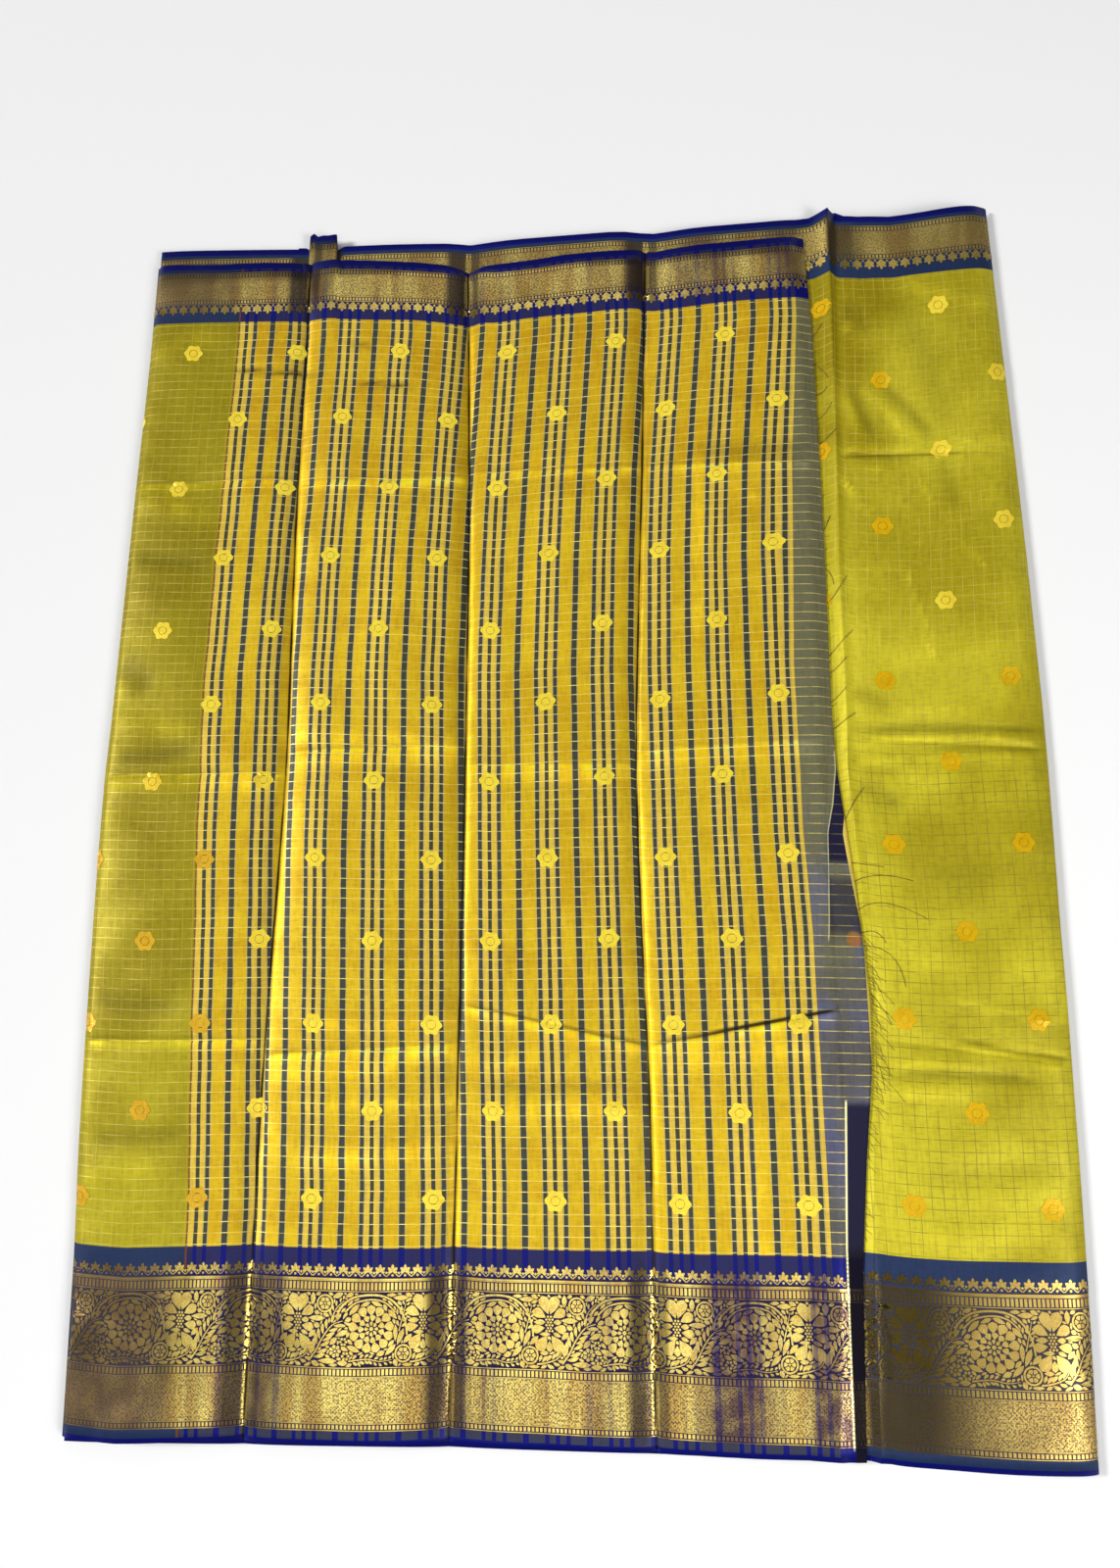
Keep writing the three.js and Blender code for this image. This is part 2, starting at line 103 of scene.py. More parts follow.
panelEnd = dict(zip(flatX, list(flatX)[1:]))  # each panel is named for the line at its left
panelRise = {"left": 1.8, "first": 2.6, "second": 2.4, "third": 3.0, "fourth": 0, "raw": 0, "ridge": 2.4}

# folds that cross the cloth: their place at the two sides of each panel; a dip under 0 stands up instead
crossFolds = [dict(zip(("flatY", "panel", "yLeft", "yRight", "dip", "reach"), row)) for row in [
    (303, "left", 304, 304, 1.6, 18),
    (303, "first", 300, 299, 1.8, 18),
    (303, "second", 303, 304, 1.2, 16),
    (303, "third", 304, 302, 1.8, 22),
    (303, "ridge", 309, 305, 2.0, 20),
    (18, "left", 4, 3, 1.2, 18),
    (18, "first", 24, 26, 2.0, 18),
    (18, "second", 8, 6, 1.4, 18),
    (18, "third", 18, 26, 1.6, 16),
    (18, "ridge", 28, 14, 2.0, 18),
    (-245, "left", -243, -243, 1.2, 20),
    (-245, "first", -256, -246, 1.4, 26),
    (-245, "second", -212, -248, -1.5, 9),
    (-245, "third", -248, -217, -1.5, 9),
    (-245, "ridge", -240, -262, 1.8, 22),
]]
ridgeForm = table("y height leftFoot rightFoot", [
    (580, 11, 17, 9), (500, 8, 15, 8), (400, 6, 13, 7), (200, 4.6, 12, 7), (0, 4.2, 9, 7),
    (-100, 2.4, 8, 7), (-180, 1.2, 7, 7), (-290, 1.2, 7, 7), (-350, 3.2, 7, 7), (-440, 5.5, 8, 8),
    (-580, 5.0, 9, 9),
])
flapEnd = table("y slack", [
    (580, 0.5), (30, 0.5), (0, 0.3), (-90, 0.4), (-165, 1.3), (-290, 1.3), (-330, 0.5), (-580, 0.5),
])

# the far and near edges of the top stretch, the one below and the hidden layers: y by x
farTop = table("x y", [
    (-430, 556), (-350, 551), (-272, 550), (-240, 549), (-200, 545), (-150, 540.5), (-120, 537), (-92, 529),
    (-80, 534), (-50, 536.5), (0, 541), (50, 544), (80, 546), (96, 541), (243, 550), (262, 551),
])
nearTop = table("x y", [
    (-430, -573), (-380, -575), (-340, -573), (-270, -570.5), (-170, -570), (-92, -567), (-50, -568),
    (80, -570), (200, -571), (245, -574),
])
farBelow = table("x y", [
    (-430, 577), (-300, 571), (-266.8, 570), (-265.8, 585), (-262, 588), (-257, 583), (-251, 584),
    (-245, 583), (-238, 584), (-236.4, 583), (-235.4, 566), (-229, 570), (-180, 569), (-120, 567), (-92, 565),
    (-50, 568), (60, 571), (98, 566), (140, 570), (200, 572), (250, 575), (270, 578), (281, 571), (300, 567),
    (330, 565), (390, 571), (429, 575),
])
nearBelow = table("x y", [(-430, -577), (-90, -572), (250, -573), (340, -576), (429, -578)])
farStack = table("x y", [
    (-430, 572), (-286, 567), (-278, 574), (-268, 573), (-262, 566), (-90, 561), (80, 566), (262, 570),
    (270, 581), (278, 583), (290, 577), (298, 562), (429, 570),
])
nearStack = table("x y", [(-430, -571), (-90, -568), (80, -567), (429, -572)])

cloth = {
    "foldReach": 17,  # how far a pressed fold's dip reaches
    "puff": 2.2,  # how far the cloth stands off the one below between its pressed folds
    "lip": 0.9,  # the lit edge just right of a pressed fold
    "floorBelow": 5.0,  # underside of the stretch below
    "wallBelow": 1.2,
    "gap": 0.3,
    "belowShare": 0.4,  # of each panel's rise is the stretch below's own
    "endKept": 0.55,  # of the last panel's rise at its fold
    "thickness": 0.9,  # the cloth's own wall, with its nap
    "underEvery": 6,  # the hidden underside has every sixth row
    "width": 1150,  # of the cloth, selvedge to selvedge
}
pleat = {"left": -265.8, "right": -236.4, "start": 430, "full": 520, "height": 2.2, "edge": 1.0, "room": 4}

# soft ridges (height over 0) and troughs (under 0) from one point to another; a painted highlight follows the
# ridges and painted shade the troughs
topWrinkles = table("x1 y1 x2 y2 height width", [
    (-335, 428, -245, 420, -2.2, 2.2), (-205, 405, -148, 398, -2.2, 2.2), (-222, 452, -190, 444, -1.2, 2.5),
    (-262, 36, -150, 38, 1.0, 8), (-150, 38, -96, 24, 1.0, 7), (-238, -226, -98, -223, 1.0, 5),
    (-240, -298, -98, -293, 1.0, 5), (-250, -272, -150, -268, 1.2, 9), (-170, -262, -95, -252, 1.1, 7),
    (-262, -318, -240, -338, 1.0, 6), (-235, -345, -96, -332, 1.3, 9),
    (-86, -262, -20, -258, 0.8, 7), (-86, -280, 60, -278, -0.8, 5), (-60, -303, 70, -300, 1.0, 8),
    (82, -262, 235, -250, 0.9, 9), (96, -246, 238, -216, -1.0, 2.0), (-60, 315, 30, 312, 0.7, 6),
    (120, 320, 240, 318, -0.9, 9), (-255, 300, -100, 297, 0.9, 5), (150, 285, 196, 262, 0.7, 5),
    (-430, 120, -400, 90, -1.0, 14), (-425, 290, -345, 262, 0.8, 12), (-430, 60, -350, 45, 0.8, 10),
    (-430, 20, -350, 30, -0.9, 8), (-430, -205, -345, -212, -0.7, 9), (-420, -330, -335, -322, -0.8, 8),
    (-430, -365, -350, -352, 0.7, 10), (-425, 455, -345, 470, 0.7, 12), (-430, 225, -350, 215, -0.6, 9),
    (130, 120, 132, 330, 0.8, 9), (160, -520, 162, -300, 0.6, 10), (-180, 60, -178, 290, 0.5, 22),
    (-20, 90, -10, 280, 0.5, 20), (-200, -560, -196, -440, 0.5, 24), (20, -560, 16, -430, 0.6, 22),
    (-350, -540, -330, -430, -0.9, 9), (-400, -566, -365, -545, 1.0, 9), (-300, -560, -298, -430, 1.1, 9),
])
belowWrinkles = table("x1 y1 x2 y2 height width", [
    (272, 36, 440, 31, -2.0, 5), (272, 23, 440, 23, 1.5, 4.5), (335, 15, 440, 14, -0.8, 3.5),
    (326, 7, 440, 7, 1.5, 4), (270, 7, 312, 5, 1.1, 4), (272, -1, 308, -3, -1.0, 4),
    (310, -12, 385, -10, 1.0, 8), (270, -14, 306, -36, -1.3, 9), (272, 74, 302, 56, -1.1, 8),
    (305, 52, 375, 50, 1.0, 5),
    (340, -212, 438, -231, -1.3, 1.8), (340, -207, 438, -226, 0.8, 4), (342, -241, 437, -257, -2.4, 1.5),
    (342, -247, 437, -264, 1.2, 5), (284, -262, 352, -263, 1.2, 4), (284, -270, 402, -274, -1.9, 4),
    (284, -284, 350, -285, 1.2, 5), (284, -293, 306, -294, -0.8, 4),
    (270, 309, 385, 307, -2.6, 1.5), (270, 314, 342, 313, 1.7, 3), (380, 316, 436, 317, 1.3, 2.5),
    (263, 291, 284, 263, 2.6, 1.7), (282, 256, 300, 248, 1.1, 2), (284, 295, 312, 293, 1.2, 5),
    (342, 282, 356, 248, 1.4, 1.8), (322, 196, 330, 160, 1.8, 1.5), (330, 160, 341, 120, 1.5, 1.5),
    (332, 123, 346, 98, 1.3, 1.5), (375, 216, 400, 184, 1.0, 2), (282, 190, 322, 190, 1.2, 1.8),
    (284, 384, 303, 326, -1.5, 5), (279, 372, 290, 326, 1.2, 4), (298, 376, 336, 322, 1.6, 6),
    (313, 380, 358, 322, -1.6, 6), (338, 474, 372, 330, -1.0, 16), (340, 488, 424, 464, 1.2, 9),
    (282, 474, 302, 436, -1.0, 9), (364, 304, 376, 250, -0.9, 8), (280, 450, 286, 440, 0.9, 6),
    (300, 100, 430, 112, 0.6, 12), (300, -110, 425, -95, -0.6, 12), (310, -170, 430, -180, 0.7, 12),
    (300, -350, 430, -340, -0.8, 11), (290, -400, 420, -392, 0.6, 12), (390, 120, 388, -160, 0.5, 16),
])


def lineX(name, y):
    return read(foldLines, "y", name, y)


def fromFold(fold, x, y):  # the share of the way across the fold's panel, and the distance past the fold
    start, stop = lineX(fold["panel"], y), lineX(panelEnd[fold["panel"]], y)
    share = np.clip((x - start) / (stop - start), 0, 1)
    return share, y - (fold["yLeft"] + (fold["yRight"] - fold["yLeft"]) * share)


def wrinkleLift(rows, x, y):
    lift = np.zeros_like(x)
    for i, (x1, y1, x2, y2, height, width) in enumerate(zip(*rows.values())):
        run = np.hypot(x2 - x1, y2 - y1)
        along = ((x - x1) * (x2 - x1) + (y - y1) * (y2 - y1)) / run
        bow = 0.03 * run * np.sin(np.pi * np.clip(along / run, 0, 1)) * np.sin(i)  # never quite straight
        across = ((y - y1) * (x2 - x1) - (x - x1) * (y2 - y1)) / run - bow
        ends = smooth(-0.12 * run, 0.2 * run, along) * (1 - smooth(0.8 * run, 1.12 * run, along))
        lift += height * bell(across, width) * ends
    return lift


def softWaves(x, y):  # the cloth is never quite flat
    return (0.55 * np.sin(x / 19 + 1.1 * np.sin(y / 57)) * np.sin(y / 43 + 0.8)
            + 0.42 * np.sin((0.8 * x + 0.6 * y) / 13 + 1.2 * np.sin(y / 37))
            + 0.30 * np.sin((0.9 * y - 0.35 * x) / 9.5 + 1.4 * np.sin(x / 41))
            + 0.15 * np.sin((y + 0.2 * x) / 5.3 + 2 * np.sin(x / 23)))


def panelLift(panel, x, y, kept=0.0):
    sides = risen(x - lineX(panel, y), cloth["foldReach"])
    toEnd = np.maximum(0, lineX(panelEnd[panel], y) - x)
    rise = np.full_like(x, panelRise[panel])
    for fold in (row for row in crossFolds if row["panel"] == panel):
        away = fromFold(fold, x, y)[1]
        rise += fold["dip"] * (risen(away, fold["reach"]) - (fold["dip"] < 0))
    return sides * (kept + (1 - kept) * risen(toEnd, cloth["foldReach"])) * rise


def pressedLines(x, y, names):  # a sharp groove along each pressed line, with a lit lip on its right
    lift = np.zeros_like(x)
    for name in names:
        away = x - lineX(name, y)
        right = np.maximum(away, 0)
        groove = np.exp(-right / 1.1)
        uneven = 0.8 + 0.3 * np.sin(y / 53 + flatX[name])
        lip = cloth["lip"] * uneven * (1 - groove) * np.exp(-right / 9)
        left = np.exp(np.minimum(away, 0) / 5)
        lift += np.where(away < 0, -cloth["puff"] * left, lip - cloth["puff"] * groove)
    return lift


def pressedAcross(x, y, panelOfColumn):  # the same along the folds that run across the pack
    lift = np.zeros_like(x)
    for fold in crossFolds:
        columns = [i for i, name in enumerate(panelOfColumn) if name == fold["panel"]]
        if not columns:
            continue
        share, away = fromFold(fold, x[:, columns], y[:, columns])
        side = np.minimum(1, np.minimum(share, 1 - share) * 9)
        near = np.minimum(away, 0)
        lip = 0.7 * np.exp(near / 8) * (1 - np.exp(near / 2.2))
        lift[:, columns] += side * (lip - np.exp(-np.abs(away) / 2.6))
        if fold["dip"] < 0:
            lift[:, columns] -= side * 1.3 * bell(away - 2.5, 1.3) * share ** 0.5
    return lift


def paintedLightOf(x, y, wrinkles, paintedShine, panels):  # painted highlight over 0, painted shade under 0: along the wrinkles, the pressed lines, the cross folds and their tucks
    sheen = paintedShine * wrinkleLift(wrinkles, x, y)
    for panel in panels[1:]:
        away = x - lineX(panel, y)
        uneven = 1 + 0.35 * np.sin(y / 31 + flatX[panel]) + 0.3 * np.sin(y / 9.7)
        gloss = 0.5 - 0.8 * (panel == "third") * smooth(-80, 40, y)
        sheen += uneven * (gloss * bell(away - 3.2, 2.4) - 2.1 * bell(away + 0.8, 0.9))
        sheen -= 0.3 * bell(away + 9, 7)
    for fold in (row for row in crossFolds if row["panel"] in panels):
        share, away = fromFold(fold, x, y)
        side = np.clip(np.minimum(share, 1 - share) * 14, 0, 1)
        reach = 8 if fold["flatY"] == 18 else 4
        sheen += side * (1.1 * bell(away + 1.2, 1.8) - 0.4 * bell(away - 2.5, 2))
        sheen += side * 0.7 * bell(away + reach, reach)
        if fold["dip"] < 0:
            depth = 1.7 if fold["panel"] == "third" else 0.9
            sheen -= side * depth * bell(away - 2.2, 1.3) * share ** 0.3
    return sheen


def ridgeLift(x, y):
    away = x - lineX("ridge", y)
    left, right, height = (read(ridgeForm, "y", name, y) for name in ("leftFoot", "rightFoot", "height"))
    return height * np.maximum(0, 1 - np.abs(away) / np.where(away < 0, left, right)) ** 1.2


def pleatLift(x, y, wider=0.0):
    left, right, edge = pleat["left"] - wider, pleat["right"] + wider, pleat["edge"]
    across = smooth(left - edge, left, x) * (1 - smooth(right, right + edge, x))
    return pleat["height"] * across * smooth(pleat["start"], pleat["full"], y)


def wholeLift(x, y, panelOfColumn, kept=0.0):
    lift = np.zeros_like(x)
    for panel in (name for name in set(panelOfColumn) if panelRise[name]):
        columns = [i for i, name in enumerate(panelOfColumn) if name == panel]
        atEnd = kept if panel == "third" else 0
        lift[:, columns] = panelLift(panel, x[:, columns], y[:, columns], atEnd)
    return lift


def belowHeight(x, y, panelOfColumn):
    lift = wholeLift(x, y, panelOfColumn)
    hidden = x < lineX("raw", y) + 6
    lift = np.where(hidden, cloth["belowShare"] * lift, lift)
    shown = smooth(0, 14, x - lineX("ridge", y)) * (1 - smooth(-16, 0, x - lineX("right", y)))
    detail = 1.6 + wrinkleLift(belowWrinkles, x, y) + softWaves(x, y) + pressedAcross(x, y, panelOfColumn)
    lift += np.where(hidden, 0, shown * detail.clip(0.05))
    return cloth["floorBelow"] + cloth["wallBelow"] + lift + ridgeLift(x, y) + pleatLift(x, y)


def topHeight(x, y, panelOfColumn):
    fold = lineX("fourth", y)
    inside = np.minimum(x, fold)
    panels = ["third" if name == "fourth" else name for name in panelOfColumn]
    share = cloth["belowShare"] * wholeLift(inside, y, panels)
    own = wholeLift(inside, y, panels, cloth["endKept"]) - share
    detail = cloth["puff"] + wrinkleLift(topWrinkles, x, y) + softWaves(x, y)
    detail += pressedLines(x, y, ("first", "second", "third")) + pressedAcross(x, y, panels)
    quiet = np.minimum(*(np.clip(np.abs(x - lineX(name, y)) / 7, 0.1, 1) for name in ("left", "fourth")))
    own = np.maximum(own + detail * quiet, 0.05)
    past = np.clip((x - fold) / (lineX("raw", y) - fold), 0, 1) ** 0.7
    end = own * (1 - past) + read(flapEnd, "y", "slack", y) * past
    base = cloth["floorBelow"] + cloth["wallBelow"] + share * (past == 0) + ridgeLift(x, y)
    return base + pleatLift(x, y, pleat["room"]) + cloth["gap"] + cloth["thickness"] + end


def spread(start, stop, step):
    return list(np.linspace(start, stop, max(2, round((stop - start) / step) + 1)))[:-1]


def gridLines(knots, near, step):  # dense beside each knot, evenly spaced between
    lines = [knots[-1]]
    for a, b in zip(knots, knots[1:]):
        lines += [a + d for d in near[:-1]] + [b - d for d in near[1:]]
        lines += spread(a + near[-1], b - near[-1], step)
    return sorted(set(np.round(lines, 4)))


def clothGrid(columns, flatRows, near, far, height):
    guides = list(flatX)
    panelOfColumn = []
    for flat in columns:
        index = max(i for i, name in enumerate(guides) if flatX[name] <= flat + 1e-6)
        panelOfColumn.append(guides[min(index, len(guides) - 2)])
    shares = [(flat - flatX[panel]) / (flatX[panelEnd[panel]] - flatX[panel])
              for flat, panel in zip(columns, panelOfColumn)]

    def xAt(y):  # y has one value for each column
        return np.array([(1 - share) * lineX(panel, at) + share * lineX(panelEnd[panel], at)
                         for share, panel, at in zip(shares, panelOfColumn, y)])

    xs, ys = [], []
    for edge in (near, far):
        xs.append(xAt(np.full(len(columns), edge["y"][0])))
        ys.append(read(edge, "x", "y", xs[-1]))
    bendReach = 70  # the rows beside a fold that slants bend toward it
    for flatRow in flatRows:
        y = np.full(len(columns), float(flatRow))
        for fold in crossFolds:
            beside = 1 - abs(flatRow - fold["flatY"]) / bendReach
            for i in (i for i, panel in enumerate(panelOfColumn) if panel == fold["panel"] and beside > 0):
                target = fold["yLeft"] + (fold["yRight"] - fold["yLeft"]) * shares[i]
                y[i] += beside * (target - fold["flatY"])
        xs.insert(-1, xAt(y))
        ys.insert(-1, y)
    x, y = np.array(xs), np.array(ys)
    return x, y, height(x, y, panelOfColumn)


def addNose(x, y, z, u, side, floor):  # the half turn of the cloth at a side fold
    column = 0 if side < 0 else -1
    radius = (z[:, column] - floor) / 2
    middle = z[:, column] - radius
    x[:, column] -= side * radius
    hinge, edgeY, edgeU = x[:, column].copy(), y[:, column].copy(), u[:, column].copy()
    for turn in range(30, 181, 30):
        angle = math.radians(turn)
        new = (hinge + side * radius * math.sin(angle), edgeY, middle + radius * math.cos(angle),
               edgeU - side * radius * angle)
        x, y, z, u = (np.column_stack([part, grid] if side < 0 else [grid, part])
                      for part, grid in zip(new, (x, y, z, u)))
    return x, y, z, u


# u, the length along the cloth from its raw end, is read from lines across the stripes: x of each line by y
stripeLines = table("y line t0 t2 t4 t6 t8 t10", [
    (460, 233, 219, 111, 1.7, -107.5, -217, -326), (300, 222, 205, 98, -8, -117, -223, -332),
    (210, 219, 201, 94, -12, -121, -227, -335), (100, 215, 201, 92, -15, -123, -230, -338),
    (-60, 217, 203, 94, -13, -120, -229, -335), (-150, 221, 207, 96, -11, -118, -226, -331),
    (-230, 222, 207, 98.6, -9, -116, -223, -328), (-370, 224, 208, 101, -5, -111, -218, -321),
    (-560, 224, 209, 102, -3, -109, -216, -318),
])
stripe = {"line": 50, "first": 63.5, "pitch": 54.5, "start": 617}  # mm along the cloth
motifLine = table("y x", [
    (467, 372), (317, 365), (160, 358), (5, 352), (-148, 355), (-302, 352), (-560, 352),
])


def topU(x, y):
    names = [name for name in stripeLines if name != "y"]
    places = [read(stripeLines, "y", name, y) for name in names]
    lengths = [stripe["line"]] + [stripe["first"] + stripe["pitch"] * int(name[1:]) for name in names[1:]]
    stretch = np.interp(-y, [0, 60, 150], [1, 1.3, 1.05])
    u = np.where(x > places[0], lengths[0] - (x - places[0]) * stretch, lengths[-1] + places[-1] - x)
    for a, b, lengthA, lengthB in zip(places, places[1:], lengths, lengths[1:]):
        u = np.where((x <= a) & (x > b), lengthA + (a - x) / (a - b) * (lengthB - lengthA), u)
    return u


def belowU(x, y):
    return 3000 - (x - read(motifLine, "y", "x", y)) / 1.03


def gridFaces(index, flip=False):
    corners = [index[:-1, :-1], index[:-1, 1:], index[1:, 1:], index[1:, :-1]]
    return np.stack([corners[0], *corners[:0:-1]] if flip else corners, -1).reshape(-1, 4).tolist()


def closedSheet(name, x, y, z, u, v, sheen, material):  # fine on top, plainer where nobody sees it
    rows, columns = x.shape
    top = np.stack([x, y, z], axis=-1)
    normal = np.cross(np.gradient(top, axis=1), np.gradient(top, axis=0))
    normal /= np.linalg.norm(normal, axis=-1, keepdims=True)
    kept = sorted(set(range(0, rows, cloth["underEvery"])) | {rows - 1})
    under = (top - normal * cloth["thickness"])[kept]
    for i, row in enumerate(kept):  # stays below every row between its own neighbours
        near = slice(max(0, row - cloth["underEvery"]), row + cloth["underEvery"] + 1)
        lowest = top[near, :, 2].min(axis=0) - cloth["thickness"]
        under[i, :, 2] = np.where(normal[row, :, 2] > 0.9, lowest, under[i, :, 2])
    points = np.concatenate([top.reshape(-1, 3), under.reshape(-1, 3)]) * mm
    index = np.arange(rows * columns).reshape(rows, columns)
    below = rows * columns + np.arange(len(kept) * columns).reshape(len(kept), columns)
    upperFaces = gridFaces(index)
    faces = upperFaces + gridFaces(below, flip=True)
    for c in range(columns - 1):
        faces.append([index[0, c + 1], index[0, c], below[0, c], below[0, c + 1]])
        faces.append([index[-1, c], index[-1, c + 1], below[-1, c + 1], below[-1, c]])
    for i, (low, high) in enumerate(zip(kept, kept[1:])):
        faces.append([*index[low:high + 1, 0], below[i + 1, 0], below[i, 0]])
        faces.append([*index[low:high + 1, -1][::-1], below[i, -1], below[i + 1, -1]])
    mesh = bpy.data.meshes.new(name)
    mesh.from_pydata(points.tolist(), [], [[int(i) for i in face] for face in faces])
    upper = bpy.data.meshes.new(name + "Upper")  # the face that the woven motifs are laid on
    upper.from_pydata(points[:rows * columns].tolist(), [], upperFaces)
    place = np.stack([u, v], axis=-1)
    place = np.concatenate([place.reshape(-1, 2), place[kept].reshape(-1, 2)]) * mm
    for data in (mesh, upper):
        corners = np.empty(len(data.loops), dtype=np.int32)
        data.loops.foreach_get("vertex_index", corners)
        data.uv_layers.new(name="clothMap").data.foreach_set("uv", place[corners].reshape(-1))
    # painted highlight and painted shade for each point, read by the cloth's material
    values = np.concatenate([sheen.reshape(-1), sheen[kept].reshape(-1)])
    mesh.attributes.new("sheen", "FLOAT", "POINT").data.foreach_set("value", values)
    mesh.polygons.foreach_set("use_smooth", [i < len(upperFaces) for i in range(len(faces))])
    mesh.materials.append(material)
    mesh.update()
    return addPiece(name, mesh), addPiece(upper.name, upper)


class Wire:  # one socket of a node tree; sums on it add Math nodes
    def __init__(self, tree, socket=None):
        self.tree, self.socket = tree, socket

    def node(self, kind, inputs=None, output=0, stops=(), **settings):
        node = self.tree.nodes.new(kind)
        for name, value in settings.items():
            setattr(node, name, value)
        if stops:
            ramp = node.color_ramp
            ramp.interpolation = "CONSTANT"
            while len(ramp.elements) < len(stops):
                ramp.elements.new(1)
            for element, (at, colour) in zip(ramp.elements, stops):
                element.position = at
                element.color = (*colour[:3], 1)
        for key, value in (inputs or {}).items():
            if isinstance(value, Wire):
                self.tree.links.new(value.socket, node.inputs[key])
            else:
                node.inputs[key].default_value = value
        return Wire(self.tree, node.outputs[output] if len(node.outputs) else None)

    def other(self, name):
        return Wire(self.tree, self.socket.node.outputs[name])

    def math(self, operation, *values):
        return self.node("ShaderNodeMath", dict(enumerate((self, *values))), operation=operation)

    def __add__(self, other):
        return self.math("ADD", other)

    def __radd__(self, other):
        return self.math("ADD", other)

    def __sub__(self, other):
        return self.math("SUBTRACT", other)

    def __rsub__(self, other):
        return self.node("ShaderNodeMath", {0: other, 1: self}, operation="SUBTRACT")

    def __mul__(self, other):
        return self.math("MULTIPLY", other)

    def __rmul__(self, other):
        return self.math("MULTIPLY", other)

    def __truediv__(self, other):
        return self.math("DIVIDE", other)

    def __gt__(self, other):
        return self.math("GREATER_THAN", other)

    def atLeast(self, other):
        return self.math("MAXIMUM", other)

    def atMost(self, other):
        return self.math("MINIMUM", other)

    def repeat(self, pitch):  # distance from the middle of each repeat
        return (self.math("FLOORED_MODULO", pitch) - pitch / 2).math("ABSOLUTE")

    def step(self, low, high):  # 0 under low, 1 over high
        return self.node("ShaderNodeMapRange", {"Value": self, "From Min": low, "From Max": high},
                         interpolation_type="SMOOTHSTEP")

    def band(self, low, high, soft=0.5):
        return self.step(low - soft / 2, low + soft / 2) * (1 - self.step(high - soft / 2, high + soft / 2))

    def fade(self, a, b):  # colour a where this is 0, b where it is 1
        return self.node("ShaderNodeMix", {"Factor": self, 6: a, 7: b}, 2, data_type="RGBA")

    def vector(self, operation, inputs):
        return self.node("ShaderNodeVectorMath", {0: self, **inputs}, operation=operation)

    def inMm(self):  # X and Y of a place
        split = self.node("ShaderNodeSeparateXYZ", {0: self})
        return split * 1000, split.other("Y") * 1000

    def noise(self, scale, detail=2, stretch=(1, 1, 1)):  # at a place
        at = self.node("ShaderNodeMapping", {"Vector": self, "Scale": stretch})
        return self.node("ShaderNodeTexNoise", {"Vector": at, "Scale": scale, "Detail": detail})


def srgb(r, g, b):
    linear = [((c / 255 + 0.055) / 1.055) ** 2.4 if c > 10 else c / 255 / 12.92 for c in (r, g, b)]
    return (*linear, 1)


black, white = (0, 0, 0, 1), (1, 1, 1, 1)
# dyes of the cloth and its threads, and the colours of its painted shade and painted highlights
dyesAndPaintedLight = {name: srgb(*rgb) for name, rgb in {
    "green": (206, 193, 42), "greenShadePatch": (150, 134, 4), "checkInShade": (112, 104, 8),
    "greenTopShaded": (156, 142, 16), "greenTopShadePatch": (130, 115, 3),
    "mustard": (223, 187, 28), "mustardDeepAndShade": (200, 152, 8), "startLine": (120, 66, 12),
    "thin": (224, 190, 66), "beige": (190, 170, 104), "navy": (66, 70, 58),  # the weft stripes
    "endBand": (116, 114, 84), "endLow": (92, 90, 88), "endSheen": (90, 98, 152), "turnedNavyShade": (30, 28, 54),
    "paintedTurnedEdgeHighlight": (196, 194, 150), "endFlower": (166, 108, 46), "rawEdge": (238, 210, 96),
    "paintedFoldHighlight": (250, 240, 176), "gap": (16, 11, 20),
    "borderNavy": (6, 14, 112), "borderPlain": (40, 40, 88), "borderGreen": (34, 50, 86),
    "selvedge": (62, 66, 72), "ground": (30, 22, 52), "groundDull": (58, 52, 54),
    "zari": (252, 228, 124), "zariShade": (176, 132, 52), "zariOnGreenAndShade": (158, 130, 70),  # gold thread
    "paintedCreaseShade": (40, 28, 20), "paintedDullShade": (94, 70, 62), "weft": (22, 20, 96), "paintedRidgeShade": (46, 38, 8),
    "tuck": (30, 24, 4), "yarn": (44, 36, 26), "yarnLight": (112, 98, 52),
    "flowerLight": (252, 230, 70), "flowerShade": (214, 164, 20),
    "flowerTop": (226, 180, 40), "flowerTopDeep": (190, 140, 20),
    "flowerBelow": (226, 182, 8), "flowerBelowDeep": (196, 146, 4),
}.items()}
# mm from the near selvedge, and from the far one: where each row of a border ends
wide = {"navy": 10.9, "rowA": 17.6, "field": 53.8, "rowB": 62, "scroll": 123, "rowC": 132.5, "crest": 145,
        "edge": 159}
narrow = {"navy": 10.3, "rowA": 17.6, "field": 42.4, "rowB": 49, "crest": 61.5, "edge": 70}
# painted shade strips beside the pressed lines, where the gold turns from the light
creaseShade = {"lines": ((-270, -262.5), (-93, -96.5), (78, 87)), "left": 28, "right": 14}  # mm, near and far end
# painted dull shade on the gold, where it would not catch the light
shadeZones = (  # from, to, how dull
    (112, 178, 0.5), (124, 163, 0.6), (206, 242, 1.0), (-70, -52, 0.35), (20, 44, 0.4), (-450, -338, 0.75),
    (-300, -288, 0.4), (-262, -238, 0.7), (-90, -78, 0.6))


def emptyMaterial(name):
    material = bpy.data.materials.new(name)
    material.use_nodes = True
    material.node_tree.nodes.clear()
    place = Wire(material.node_tree).node("ShaderNodeTexCoord", output=3)
    return material, place


def surface(place, inputs, height=None, depth=0.0):
    if height is not None:
        bump = place.node("ShaderNodeBump", {"Strength": 0.5, "Distance": depth, "Height": height})
        inputs = {**inputs, "Normal": bump, "Specular IOR Level": 0.2}
    place.node("ShaderNodeOutputMaterial", {"Surface": place.node("ShaderNodeBsdfPrincipled", inputs)})


